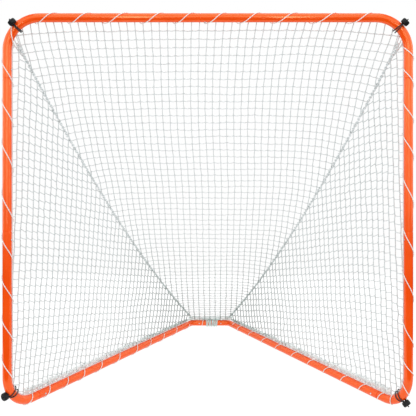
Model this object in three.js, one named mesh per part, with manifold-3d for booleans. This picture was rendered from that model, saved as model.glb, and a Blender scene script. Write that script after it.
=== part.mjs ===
// Backyard lacrosse goal: a take-apart frame of swaged round steel tubes held by sprung snap buttons,
// with a back net and two side nets laced to it by spiralled cords, and ball bungees at the front corners.
// Millimetres, +Z up. Y runs from the mouth (front, negative) to the rear bar (positive); X is to the right.
// The origin is on the floor, midway between the posts and midway between the mouth and the rear bar.
import * as THREE from "three";
import { mergeVertices } from "three/addons/utils/BufferGeometryUtils.js";
import Module from "manifold-3d";

const wasm = await Module();
wasm.setup();

// The frame's driving sizes.
const MOUTH = 1829; // clear width and height of the goal mouth
const DEPTH = 1524; // post axis to rear bar axis
const REAR_WIDTH = 274; // between the two points where the rails' lines meet the rear bar's line
const TUBE_R = 20.65; // 1 5/8 inch tube
const WALL = 1.5;
const BEND_R = 152; // centreline radius of the four front corners
const BEND_STEPS = 8; // per front corner
const REAR_BEND_R = 38;
const REAR_BEND_STEPS = 5;
const SIDES = 24; // flats on a tube

// The joints, each a swaged end in a plain one.
const FIT_GAP = 0.3; // radial clearance of a swaged end
const JOINT_GAP = 0.4; // between the plain end and the foot of the neck
const NECK = 3; // length over which a tube necks down to its swaged end
const INSERT = 75; // length of a swaged end
const UPPER_JOINT_SHARE = 0.8472; // height of the upper post joint, as a share of the crossbar's
const LOWER_JOINT_SHARE = 0.4617;
const RAIL_JOINT = 188; // from the front corner's vertex, along the rail
const CROSSBAR_JOINT_X = -34.5;
const REAR_JOINT_IN = 29; // from the point where a rail's line meets the rear bar's line

// The snap buttons and their springs.
const PIN_R = 4;
const PIN_GAP = 0.3; // round the pin in its holes
const PIN_OUT = 3.5; // how far a button stands out of its tube
const DOME = 1.7;
const FLANGE_R = 5.6;
const FLANGE = 1.5;
const FLANGE_GAP = 0.35; // from the flange's rim to the inside of the swaged end
const BUTTON_SIDES = 10;
const POST_SETBACK = 40; // from a joint to its button
const RAIL_SETBACK = 36;
const CROSSBAR_SETBACK = 22;
const REAR_SETBACK = 28;
const LEAF = 0.8; // spring strip
const LEAF_WIDTH = 11;
const LEAF_REACH = 42; // from the button to the fold
const LEAF_TAIL = 7;
const LEAF_GAP = 0.35;

// The nets.
const STRAND = 4; // a net strand is square
const NET_GAP = 0.4; // between a border strand and the tube that it follows
const SEAM_R = 2.5;
const SEAM_GAP = 0.4;
const SEAM_SAG = 110; // how far the seams hang under a straight line
const SEAM_TOP_IN = 36; // from the post's axis to the seam's top end, inwards and backwards
const SEAM_TOP_BACK = 16;
const SEAM_TOP_DROP = 105; // under the crossbar's axis
const SEAM_END_IN = 4; // from the rear vertex to the seam's lower end
const SEAM_END_AHEAD = 12;
const SEAM_END_Z = 62;
const SEAM_SIDES = 5;
const SEAM_TRIM_SHARE = 0.015; // of the seam, left free at each end
const WAY_SHARE = 0.001; // of the seam, to each side of a point, for its direction there
const BACK_PULL_Y = 600; // the point that the back net's sagging middle line is drawn towards
const BACK_PULL_Z = 510;
const BACK_LAG = 0.22; // how far the middle of a row stays behind its ends on the seams
const ROWS = 11;
const BAR_BORDER_IN = 37; // from that point to the end of the straight border on the rear bar
const RAIL_BORDER_END_SHARE = 0.959; // of the rail

// The lacing cords, spiralled round a tube and the border strand beside it.
const LACE_R = 2.1;
const LACE_GAP = 0.35;
const LACE_STEPS = 8; // per turn
const LACE_PACE = 0.45; // how much less a cord advances across the face than round the back, where it follows the net
const BUMP_SLACK = 1.25; // extra lift where a cord passes over a border strand
const FOOT_CUT = 0.5; // what the floor flattens off a cord that the goal stands on

// The bungees.
const BALL_R = 18.5;
const BALL_HALF = 14; // half its thickness: it is flattened along its hole
const BALL_GAP = 1.35; // to the tube
const BALL_RINGS = 7;
const BALL_SIDES = 12;
const ELASTIC_R = 2.5;
const ELASTIC_GAP = 0.35;
const ELASTIC_SIDES = 5;
const ELASTIC_STEPS = 9;
const ELASTIC_START_DEG = 50; // round the tube, from the ball to where the loop meets the tube
const ELASTIC_NEAR_DEG = 50; // how near a border strand lifts the loop
const LOW_BUNGEE_STEP = 3; // steps down a bottom corner's bend

// Sizes that follow.
const INSERT_R = TUBE_R - WALL - FIT_GAP;
const BORE_R = (INSERT_R - WALL) * Math.cos(Math.PI / SIDES); // inside a swaged end, at its flats
const FLANGE_TOP = Math.sqrt(BORE_R * BORE_R - FLANGE_R * FLANGE_R) - FLANGE_GAP;
const LACE_CIRCLE = (TUBE_R + LACE_GAP + LACE_R) / Math.cos(Math.PI / LACE_STEPS);
const LOW_Z = TUBE_R + LACE_GAP + LACE_R + LACE_R - FOOT_CUT; // height of the rails' axis
const TOP_Z = MOUTH + TUBE_R; // height of the crossbar's axis
const POST_X = MOUTH / 2 + TUBE_R;
const REAR_X = REAR_WIDTH / 2;
const REAR_JOINT_X = REAR_X - REAR_JOINT_IN;
const BAR_BORDER_X = REAR_X - BAR_BORDER_IN;
const RAIL_BUTTON = RAIL_JOINT + RAIL_SETBACK; // from the front corner's vertex
const RAIL_LENGTH = Math.hypot(POST_X - REAR_X, DEPTH);
const SPLAY = Math.atan2(POST_X - REAR_X, DEPTH);
const CORNER_R = STRAND / Math.SQRT2; // half a strand's diagonal
const BORDER_R = TUBE_R + NET_GAP + CORNER_R;
const LACE_BUMP = BORDER_R + (CORNER_R + LACE_GAP + LACE_R) * BUMP_SLACK;
const ELASTIC_STEP_DEG = (360 - 2 * ELASTIC_START_DEG) / (ELASTIC_STEPS - 1);
const ELASTIC_CIRCLE = (TUBE_R + ELASTIC_GAP + ELASTIC_R) / Math.cos(rad(ELASTIC_STEP_DEG / 2));
const BALL_OFF = TUBE_R + BALL_GAP + BALL_HALF; // from the tube's axis to the ball's centre
const ELASTIC_BUMP = BORDER_R + (CORNER_R + ELASTIC_GAP + ELASTIC_R) * BUMP_SLACK;
const UPPER_JOINT_Z = TOP_Z * UPPER_JOINT_SHARE;
const LOWER_JOINT_Z = TOP_Z * LOWER_JOINT_SHARE;
const SIDE_NAMES = new Map([[-1, "left"], [1, "right"]]);

// The turns of each lacing, as shares of its member's length, or on a rail of the length behind its button:
// after n turns it crosses the face that shows in the mouth at start + each n + growth n n, and it runs for
// the turns from first to last.
const POST_SHARES = new Map([
  [-1, { start: 0.1492, each: 0.1081, growth: 0, first: 0, last: 6.9 }],
  [1, { start: 0.1465, each: 0.0952, growth: 0.0016, first: 0, last: 6.9 }],
]);
const RAIL_SHARES = new Map([
  [-1, { start: -0.0601, each: 0.0815, growth: 0.00214, phase: 0, first: 0.1875, last: 9.82 }],
  [1, { start: -0.0601, each: 0.0815, growth: 0.00214, phase: 0.3, first: -0.0825, last: 9.58 }],
]);
const CROSSBAR_SHARES = { start: -0.421, each: 0.088, growth: 0.00027, first: 0, last: 9.45 };
const REAR_SHARES = { start: -0.219, each: 0.1606, growth: 0, first: 0, last: 2.82 };

const group = new THREE.Group();
group.name = "lacrosse_goal";
const enamel = new THREE.MeshStandardMaterial({ color: 0xf4521a, roughness: 0.4 });
const netting = new THREE.MeshStandardMaterial({ color: 0xe4e6e4, roughness: 0.9 });
const lacing = new THREE.MeshStandardMaterial({ color: 0xf2f2ee, roughness: 0.85 });
const elastic = new THREE.MeshStandardMaterial({ color: 0x1b1b1d, roughness: 0.8 });
const moulding = new THREE.MeshStandardMaterial({ color: 0x111113, roughness: 0.5 });
const zinc = new THREE.MeshStandardMaterial({ color: 0xb9bdc0, roughness: 0.35, metalness: 1 });

function rad(degrees) {
  return THREE.MathUtils.degToRad(degrees);
}

function vec(x, y, z) {
  return new THREE.Vector3(x, y, z);
}

// A point whose y is counted backwards from the posts' axes.
function place(x, y, z) {
  return vec(x, y - DEPTH / 2, z);
}

// start + direction * distance
function along(start, direction, distance) {
  return start.clone().addScaledVector(direction, distance);
}

// The part of a vector that is square to a direction, made unit.
function square(vector, direction) {
  return along(vector, direction, -vector.dot(direction)).normalize();
}

function add(name, solid, material) {
  const mesh = new THREE.Mesh(solid, material);
  mesh.name = name;
  group.add(mesh);
}

// Triangles as a geometry.
function geometryOf(triangles) {
  const positions = new Float32Array(triangles.length * 9);
  triangles.flat().forEach((point, i) => point.toArray(positions, i * 3));
  const geometry = new THREE.BufferGeometry();
  geometry.setAttribute("position", new THREE.BufferAttribute(positions, 3));
  geometry.computeVertexNormals();
  return geometry;
}

function solidOf(geometry) {
  const bare = geometry.clone();
  bare.deleteAttribute("normal");
  const merged = mergeVertices(bare, 1e-4);
  return new wasm.Manifold(
    new wasm.Mesh({
      numProp: 3,
      vertProperties: merged.attributes.position.array,
      triVerts: new Uint32Array(merged.index.array),
    }),
  );
}

function geometryFrom(solid) {
  const made = solid.getMesh();
  const geometry = new THREE.BufferGeometry();
  geometry.setAttribute("position", new THREE.BufferAttribute(made.vertProperties, 3));
  geometry.setIndex(new THREE.BufferAttribute(made.triVerts, 1));
  const flat = geometry.toNonIndexed();
  flat.computeVertexNormals();
  return flat;
}

// Two rows of points joined by a band of triangles that faces out when the rows turn anticlockwise about the way on.
function band(triangles, from, to) {
  for (let k = 0; k < from.length; k += 1) {
    const next = (k + 1) % from.length;
    triangles.push([from[k], from[next], to[next]], [from[k], to[next], to[k]]);
  }
}

// A closed skin over rings of points, with flat ends or with a pole point beyond them.
function skin(rings, firstPole, lastPole) {
  const triangles = [];
  for (let i = 1; i < rings.length; i += 1) band(triangles, rings[i - 1], rings[i]);
  const first = rings[0];
  const last = rings[rings.length - 1];
  for (let k = 0; k < first.length; k += 1) {
    const next = (k + 1) % first.length;
    if (firstPole) triangles.push([firstPole, first[next], first[k]]);
    else if (k && next) triangles.push([first[0], first[next], first[k]]);
    if (lastPole) triangles.push([lastPole, last[k], last[next]]);
    else if (k && next) triangles.push([last[0], last[k], last[next]]);
  }
  return geometryOf(triangles);
}

// A ring of points about a centre, in the plane of two square directions.
function ring(centre, a, b, radius, sides, turn) {
  const points = [];
  for (let k = 0; k < sides; k += 1) {
    const angle = ((k + turn) / sides) * 2 * Math.PI;
    points.push(along(along(centre, a, radius * Math.cos(angle)), b, radius * Math.sin(angle)));
  }
  return points;
}

// A route of straight runs with a round bend at its middle corner. It gives the point and the way on at a distance.
function route(corners, radius) {
  const ways = corners.slice(1).map((corner, i) => corner.clone().sub(corners[i]).normalize());
  const first = corners[0].distanceTo(corners[1]);
  if (corners.length === 2) {
    return { length: first, arc: [], at: (s) => ({ point: along(corners[0], ways[0], s), way: ways[0] }) };
  }
  const turn = ways[0].angleTo(ways[1]);
  const reach = radius * Math.tan(turn / 2);
  const inward = square(ways[1], ways[0]);
  const bendFrom = first - reach;
  const bendTo = bendFrom + radius * turn;
  const bendStart = along(corners[0], ways[0], bendFrom);
  const bendEnd = along(corners[1], ways[1], reach);
  return {
    length: bendTo + corners[1].distanceTo(corners[2]) - reach,
    arc: [bendFrom, bendTo],
    at(s) {
      if (s <= bendFrom) return { point: along(corners[0], ways[0], s), way: ways[0] };
      if (s >= bendTo) return { point: along(bendEnd, ways[1], s - bendTo), way: ways[1] };
      const angle = (s - bendFrom) / radius;
      const across = radius * (1 - Math.cos(angle));
      return {
        point: along(along(bendStart, ways[0], radius * Math.sin(angle)), inward, across),
        way: along(ways[0].clone().multiplyScalar(Math.cos(angle)), inward, Math.sin(angle)),
      };
    },
  };
}

// A tube along a route that lies in the plane square to side. Each end is plain or swaged.
function tubeSolid(path, side, startSwaged, endSwaged, bendSteps, holes) {
  const stations = [];
  if (startSwaged) stations.push([-INSERT, INSERT_R], [0, INSERT_R], [NECK, TUBE_R]);
  else stations.push([JOINT_GAP, TUBE_R]);
  if (path.arc.length) {
    const [from, to] = path.arc;
    for (let i = 0; i <= bendSteps; i += 1) stations.push([from + ((to - from) * i) / bendSteps, TUBE_R]);
  }
  if (endSwaged) stations.push([path.length - NECK, TUBE_R], [path.length, INSERT_R], [path.length + INSERT, INSERT_R]);
  else stations.push([path.length - JOINT_GAP, TUBE_R]);
  const outer = [];
  const inner = [];
  for (const [s, radius] of stations) {
    const { point, way } = path.at(s);
    const other = way.clone().cross(side);
    outer.push(ring(point, side, other, radius, SIDES, 0.5));
    inner.push(ring(point, side, other, radius - WALL, SIDES, 0.5));
  }
  const triangles = [];
  for (let i = 1; i < outer.length; i += 1) {
    band(triangles, outer[i - 1], outer[i]);
    band(triangles, inner[i], inner[i - 1]);
  }
  band(triangles, inner[0], outer[0]);
  band(triangles, outer[outer.length - 1], inner[inner.length - 1]);
  let solid = solidOf(geometryOf(triangles));
  for (const hole of holes) solid = solid.subtract(hole);
  return geometryFrom(solid);
}

// A cutter for a button's hole, from inside the tube outwards.
function holeFor(spot) {
  const radius = (PIN_R + PIN_GAP) / Math.cos(Math.PI / BUTTON_SIDES);
  const from = along(spot.centre, spot.out, TUBE_R / 2);
  const to = along(spot.centre, spot.out, TUBE_R + WALL);
  const other = spot.out.clone().cross(spot.way);
  const rings = [from, to].map((point) => ring(point, spot.way, other, radius, BUTTON_SIDES, 0.5));
  return solidOf(skin(rings));
}

// A button: a flanged pin with a low dome, standing out of the tube along out.
function buttonSolid(spot) {
  const top = TUBE_R + PIN_OUT;
  const under = FLANGE_TOP - FLANGE;
  const profile = [
    [FLANGE_R, under],
    [FLANGE_R, under + FLANGE],
    [PIN_R, under + FLANGE],
    [PIN_R, top - DOME],
    [PIN_R * Math.SQRT1_2, top - DOME * (1 - Math.SQRT1_2)],
  ];
  const other = spot.out.clone().cross(spot.way);
  const rings = profile.map(([radius, height]) =>
    ring(along(spot.centre, spot.out, height), spot.way, other, radius, BUTTON_SIDES, 0.5),
  );
  return skin(rings, along(spot.centre, spot.out, under), along(spot.centre, spot.out, top));
}

// A spring: one strip folded into a V, with one leg under the button and the other on the far wall.
function springSolid(spot) {
  const upper = FLANGE_TOP - FLANGE - LEAF_GAP - LEAF / 2;
  const lower = LEAF_GAP + LEAF - Math.sqrt(BORE_R * BORE_R - (LEAF_WIDTH / 2) ** 2);
  const middle = (upper + lower) / 2;
  const fold = Math.abs(upper - lower) / 4;
  const line = [
    [-LEAF_TAIL, upper],
    [LEAF_TAIL, upper],
    [LEAF_REACH - fold, middle + fold],
    [LEAF_REACH, middle],
    [LEAF_REACH - fold, middle - fold],
    [LEAF_TAIL, lower],
    [-LEAF_TAIL, lower],
  ];
  const points = line.map(([s, height]) => along(along(spot.centre, spot.inwards, s), spot.out, height));
  const across = spot.out.clone().cross(spot.inwards);
  const rings = points.map((point, i) => {
    const before = points[Math.max(i - 1, 0)];
    const after = points[Math.min(i + 1, points.length - 1)];
    const normal = after.clone().sub(before).normalize().cross(across);
    const corners = [[1, 1], [-1, 1], [-1, -1], [1, -1]];
    return corners.map(([a, b]) =>
      along(along(point, across, (a * LEAF_WIDTH) / 2), normal, (b * LEAF) / 2),
    );
  });
  return skin(rings);
}

// A round cord along points. The first vector of each ring comes from facing(i), made square to the way on.
function cordSolid(points, radius, sides, facing) {
  const rings = points.map((point, i) => {
    const before = points[Math.max(i - 1, 0)];
    const after = points[Math.min(i + 1, points.length - 1)];
    const way = after.clone().sub(before).normalize();
    const a = square(facing(i), way);
    return ring(point, a, way.clone().cross(a), radius, sides, 0);
  });
  return skin(rings);
}

// The least gap between turns of one cord, measured between points that are far apart along it.
function leastGap(points, radius) {
  const dense = [];
  for (let i = 1; i < points.length; i += 1) {
    for (let k = 0; k < 4; k += 1) dense.push(points[i - 1].clone().lerp(points[i], k / 4));
  }
  const run = [0];
  for (let i = 1; i < dense.length; i += 1) run.push(run[i - 1] + dense[i].distanceTo(dense[i - 1]));
  let least = Infinity;
  for (let i = 0; i < dense.length; i += 1) {
    for (let k = i + 1; k < dense.length; k += 1) {
      if (run[k] - run[i] > radius * Math.PI * 4) least = Math.min(least, dense[i].distanceTo(dense[k]));
    }
  }
  return least - 2 * radius;
}

// The share of a tube at which a lacing has made n turns.
function turnedShare(shares, n) {
  return shares.start + shares.each * n + shares.growth * n * n;
}

// A lacing cord round a tube: start and way are the tube's axis, face the side that whole turns cross,
// border the direction of the border strand that each turn also goes round.
function lacingSolid(name, member) {
  const { start, way, length, face, border, hand, shares, standsOn } = member;
  const other = way.clone().cross(face);
  const borderTurn = Math.atan2(border.dot(other), border.dot(face)) / (2 * Math.PI * hand);
  const points = [];
  const outward = [];
  const first = Math.ceil((shares.first - borderTurn) * LACE_STEPS);
  const last = Math.floor((shares.last - borderTurn) * LACE_STEPS);
  for (let step = first; step <= last; step += 1) {
    const n = borderTurn + step / LACE_STEPS;
    const angle = 2 * Math.PI * hand * n;
    const out = along(face.clone().multiplyScalar(Math.cos(angle)), other, Math.sin(angle));
    const radius = step % LACE_STEPS === 0 ? LACE_BUMP : LACE_CIRCLE;
    const paced = n - (LACE_PACE * Math.sin(2 * Math.PI * n)) / (2 * Math.PI);
    const distance = length * turnedShare(shares, paced + (shares.phase ?? 0));
    points.push(along(along(start, way, distance), out, radius));
    outward.push(out);
  }
  console.log(name, "least gap between turns, mm:", leastGap(points, LACE_R).toFixed(1));
  const cord = cordSolid(points, LACE_R, 4, (i) => outward[i]);
  if (!standsOn) return cord;
  return geometryFrom(solidOf(cord).subtract(underFloor()));
}

// A block under the floor that is larger than the goal.
function underFloor() {
  const reach = MOUTH * 2;
  const corners = [[-1, -1], [1, -1], [1, 1], [-1, 1]];
  const rings = [-TUBE_R, 0].map((z) => corners.map(([x, y]) => vec(x * reach, y * reach, z)));
  return solidOf(skin(rings));
}

// A net from named knots and the strands between them, each strand square. The reference normal sorts the strands.
function netSolid(knots, strands, normalHint) {
  const links = new Map([...knots.keys()].map((key) => [key, []]));
  for (const [a, b] of strands) {
    links.get(a).push(b);
    links.get(b).push(a);
  }
  const corners = new Map(); // "knot>neighbour" to [right, left] corner points, each on the front and the back
  const triangles = [];
  for (const [key, point] of knots) {
    const u = square(vec(normalHint.z, normalHint.x, normalHint.y), normalHint);
    const v = normalHint.clone().cross(u);
    const ways = links.get(key).map((name) => {
      const way = knots.get(name).clone().sub(point).normalize();
      return { name, way, angle: Math.atan2(way.dot(v), way.dot(u)) };
    });
    ways.sort((a, b) => a.angle - b.angle);
    const normal = vec(0, 0, 0);
    ways.forEach((one, i) => {
      const next = ways[(i + 1) % ways.length];
      const lift = one.way.clone().cross(next.way);
      normal.addScaledVector(lift, Math.sign(lift.dot(normalHint)));
    });
    if (normal.length() < 0.05) normal.copy(normalHint);
    normal.normalize();
    const a = square(ways[0].way, normal);
    const b = normal.clone().cross(a);
    const turns = ways.map(({ way }) => Math.atan2(way.dot(b), way.dot(a)));
    const fronts = [];
    const backs = [];
    ways.forEach((one, i) => {
      const next = (i + 1) % ways.length;
      let open = turns[next] - turns[i];
      if (open <= 0) open += 2 * Math.PI;
      const middle = turns[i] + open / 2;
      const reach = STRAND / 2 / Math.sin(open / 2);
      const corner = along(along(point, a, reach * Math.cos(middle)), b, reach * Math.sin(middle));
      fronts.push(along(corner, normal, STRAND / 2));
      backs.push(along(corner, normal, -STRAND / 2));
    });
    ways.forEach((one, i) => {
      const right = (i + ways.length - 1) % ways.length;
      corners.set(`${key}>${one.name}`, [fronts[right], fronts[i], backs[right], backs[i]]);
    });
    const reaches = fronts.map((corner) => corner.distanceTo(point));
    const far = reaches.indexOf(Math.max(...reaches));
    for (let i = 1; i < ways.length - 1; i += 1) {
      const one = (far + i) % ways.length;
      const two = (far + i + 1) % ways.length;
      triangles.push([fronts[far], fronts[one], fronts[two]]);
      triangles.push([backs[far], backs[two], backs[one]]);
    }
  }
  for (const [one, two] of strands) {
    const [frontRight, frontLeft, backRight, backLeft] = corners.get(`${one}>${two}`);
    const [farFrontRight, farFrontLeft, farBackRight, farBackLeft] = corners.get(`${two}>${one}`);
    const near = [frontRight, frontLeft, backLeft, backRight];
    const far = [farFrontLeft, farFrontRight, farBackRight, farBackLeft];
    band(triangles, far, near);
  }
  return geometryOf(triangles);
}

// The seam between the back net and a side net, at a share of its length from the top.
function seamAt(hand, t) {
  const from = place(hand * (POST_X - SEAM_TOP_IN), SEAM_TOP_BACK, TOP_Z - SEAM_TOP_DROP);
  const to = place(hand * (REAR_X - SEAM_END_IN), DEPTH - SEAM_END_AHEAD, SEAM_END_Z);
  const point = from.lerp(to, t);
  point.z -= 4 * SEAM_SAG * t * (1 - t);
  return point;
}

function seamWay(hand, t) {
  return seamAt(hand, t + WAY_SHARE).sub(seamAt(hand, t - WAY_SHARE)).normalize();
}

// A border knot beside the seam, towards the back net's middle or down the side net.
function besideSeam(hand, t, towards) {
  const offset = SEAM_R + SEAM_GAP + CORNER_R;
  return along(seamAt(hand, t), square(towards, seamWay(hand, t)), offset);
}

// The shares of the seam at which rows of the back net and columns of the side nets meet it.
// They follow the left rail's lacing, so that each column lands between two of its turns.
const shares = [0];
for (let j = 1; j < ROWS; j += 1) {
  const rail = RAIL_SHARES.get(-1);
  const behindButton = turnedShare(rail, j - 1 + rail.first);
  shares.push(THREE.MathUtils.lerp(RAIL_BUTTON / RAIL_LENGTH, 1, behindButton));
}
shares.push(1);

function railWay(hand) {
  return vec(-hand * Math.sin(SPLAY), Math.cos(SPLAY), 0);
}

// Sideways out of a rail, to the inside of the goal.
function railInner(hand) {
  return vec(-hand * Math.cos(SPLAY), -Math.sin(SPLAY), 0);
}

function railPoint(hand, s) {
  return along(place(hand * POST_X, 0, LOW_Z), railWay(hand), s);
}

const BORDER_TILT_DEG = 180 / LACE_STEPS; // how far the floor borders lean from straight up, so that a turn lies flat below
const POST_TILT_DEG = 30; // how far the posts' borders lean back from straight in
const CROSSBAR_TILT_DEG = 45;

function railBorder(hand) {
  const tilt = rad(BORDER_TILT_DEG);
  return along(vec(0, 0, Math.cos(tilt)), railInner(hand), -Math.sin(tilt));
}

function postBorder(hand) {
  const tilt = rad(POST_TILT_DEG);
  return vec(-hand * Math.cos(tilt), Math.sin(tilt), 0);
}

function crossbarBorder() {
  const tilt = rad(CROSSBAR_TILT_DEG);
  return vec(0, Math.sin(tilt), -Math.cos(tilt));
}

function rearBorder() {
  const tilt = rad(BORDER_TILT_DEG);
  return vec(0, Math.sin(tilt), Math.cos(tilt));
}

// The five kinds of tube.
const joints = []; // where the buttons are: centre on the axis, way along it, inwards into the swaged end, out of the tube
function buttonSpot(name, centre, way, inwards, out) {
  const spot = { name, centre, way, inwards, out };
  joints.push(spot);
  return spot;
}

const crossbarSpot = buttonSpot(
  "crossbar",
  place(CROSSBAR_JOINT_X + CROSSBAR_SETBACK, 0, TOP_Z),
  vec(1, 0, 0),
  vec(1, 0, 0),
  vec(0, 0, -1),
);
const rearBarSpots = [];
for (const [hand, side] of SIDE_NAMES) {
  const inner = vec(-hand, 0, 0);
  const upperSpot = buttonSpot(
    `upper_post_${side}`,
    place(hand * POST_X, 0, UPPER_JOINT_Z + POST_SETBACK),
    vec(0, 0, 1),
    vec(0, 0, 1),
    inner,
  );
  const lowerSpot = buttonSpot(
    `lower_post_${side}`,
    place(hand * POST_X, 0, LOWER_JOINT_Z - POST_SETBACK),
    vec(0, 0, 1),
    vec(0, 0, -1),
    inner,
  );
  const railSpot = buttonSpot(
    `rail_${side}`,
    railPoint(hand, RAIL_BUTTON),
    railWay(hand),
    railWay(hand),
    railInner(hand),
  );
  const rearSpot = buttonSpot(
    `rear_bar_${side}`,
    place(hand * (REAR_JOINT_X - REAR_SETBACK), DEPTH, LOW_Z),
    inner,
    inner,
    vec(0, -1, 0),
  );
  rearBarSpots.push(rearSpot);

  const isMale = hand < 0;
  const topCorner = route(
    [
      place(CROSSBAR_JOINT_X, 0, TOP_Z),
      place(hand * POST_X, 0, TOP_Z),
      place(hand * POST_X, 0, UPPER_JOINT_Z),
    ],
    BEND_R,
  );
  add(
    `top_corner_tube_${side}`,
    tubeSolid(topCorner, vec(0, 1, 0), isMale, false, BEND_STEPS, [holeFor(crossbarSpot), holeFor(upperSpot)]),
    enamel,
  );

  const middlePost = route([
    place(hand * POST_X, 0, UPPER_JOINT_Z),
    place(hand * POST_X, 0, LOWER_JOINT_Z),
  ]);
  add(
    `middle_post_${side}`,
    tubeSolid(middlePost, vec(0, 1, 0), true, true, 0, [holeFor(upperSpot), holeFor(lowerSpot)]),
    enamel,
  );

  const bottomCorner = route(
    [place(hand * POST_X, 0, LOWER_JOINT_Z), place(hand * POST_X, 0, LOW_Z), railPoint(hand, RAIL_JOINT)],
    BEND_R,
  );
  add(
    `bottom_corner_tube_${side}`,
    tubeSolid(bottomCorner, railInner(hand), false, true, BEND_STEPS, [holeFor(lowerSpot), holeFor(railSpot)]),
    enamel,
  );

  const rail = route(
    [railPoint(hand, RAIL_JOINT), place(hand * REAR_X, DEPTH, LOW_Z), place(hand * REAR_JOINT_X, DEPTH, LOW_Z)],
    REAR_BEND_R,
  );
  add(
    `rail_tube_${side}`,
    tubeSolid(rail, vec(0, 0, 1), false, true, REAR_BEND_STEPS, [holeFor(railSpot), holeFor(rearSpot)]),
    enamel,
  );
}

const rearBar = route([place(-REAR_JOINT_X, DEPTH, LOW_Z), place(REAR_JOINT_X, DEPTH, LOW_Z)]);
add("rear_bar", tubeSolid(rearBar, vec(0, 0, 1), false, false, 0, rearBarSpots.map(holeFor)), enamel);

for (const spot of joints) {
  add(`snap_button_${spot.name}`, buttonSolid(spot), zinc);
  add(`button_spring_${spot.name}`, springSolid(spot), zinc);
}

// The back net. Its columns stand at even X, and each one ends where a row meets the seam.
const knots = new Map();
const strands = [];
const edgeX = shares.map((t) => Math.abs(besideSeam(1, t, vec(-1, 0, 0)).x));
const columnEnds = [10, 8, 6, 4, 2];
const columns = columnEnds.map((row) => ({ x: edgeX[row], end: row }));
columns.push({ x: columns[0].x / 3, end: ROWS });
const crossbarEdge = along(place(0, 0, TOP_Z), crossbarBorder(), BORDER_R);
const rearEdge = along(place(0, DEPTH, LOW_Z), rearBorder(), BORDER_R);
const pull = place(0, BACK_PULL_Y, BACK_PULL_Z);

// The middle line of the back net, hanging from the crossbar to the rear bar.
function middleLine(t) {
  const a = crossbarEdge.clone().lerp(pull, t);
  const b = pull.clone().lerp(rearEdge, t);
  return a.lerp(b, t);
}

function backKnot(x, row) {
  if (row === 0) return crossbarEdge.clone().setX(x);
  if (row === ROWS) return rearEdge.clone().setX(x);
  const edge = besideSeam(1, shares[row], vec(-1, 0, 0));
  const share = (x / edge.x) ** 2;
  const t = shares[row];
  const lag = BACK_LAG * t * t * (1 - t ** 8);
  return middleLine(t - lag).lerp(edge, share).setX(x);
}

function link(a, b) {
  strands.push([a, b]);
}

for (let row = 0; row <= ROWS; row += 1) {
  const line = [];
  for (const hand of [-1, 1]) {
    for (const [i, column] of columns.entries()) {
      if (row > column.end || (row === column.end && row < ROWS)) continue;
      knots.set(`column ${hand * i} ${hand} ${row}`, backKnot(hand * column.x, row));
      line.push(`column ${hand * i} ${hand} ${row}`);
    }
    if (row === ROWS) {
      knots.set(`bar ${hand}`, backKnot(hand * BAR_BORDER_X, row));
      line.push(`bar ${hand}`);
    }
    if (row === 0) {
      // The border follows the inside of the corner's bend down to the seam.
      const centre = place(hand * (POST_X - BEND_R), 0, TOP_Z - BEND_R);
      const tilt = rad(CROSSBAR_TILT_DEG);
      for (const step of [2, 4]) {
        const turn = ((step / BEND_STEPS) * Math.PI) / 2;
        const out = vec(hand * Math.sin(turn), 0, Math.cos(turn));
        const knot = along(centre, out, BEND_R - BORDER_R * Math.cos(tilt));
        knot.y += BORDER_R * Math.sin(tilt);
        knots.set(`bend ${hand} ${step}`, knot);
        line.push(`bend ${hand} ${step}`);
      }
    }
    knots.set(`seam ${hand} ${row}`, besideSeam(hand, shares[row], vec(-hand, 0, 0)));
    line.push(`seam ${hand} ${row}`);
    if (row > 0) link(`seam ${hand} ${row - 1}`, `seam ${hand} ${row}`);
  }
  line.sort((a, b) => knots.get(a).x - knots.get(b).x);
  for (let i = 1; i < line.length; i += 1) link(line[i - 1], line[i]);
}
for (const hand of [-1, 1]) {
  for (const [i, column] of columns.entries()) {
    for (let row = 0; row < column.end; row += 1) {
      const isLast = row + 1 === column.end && column.end < ROWS;
      const below = isLast ? `seam ${hand} ${row + 1}` : `column ${hand * i} ${hand} ${row + 1}`;
      link(`column ${hand * i} ${hand} ${row}`, below);
    }
  }
}
add("back_net", netSolid(knots, strands, vec(0, DEPTH, TOP_Z).normalize()), netting);

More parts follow.
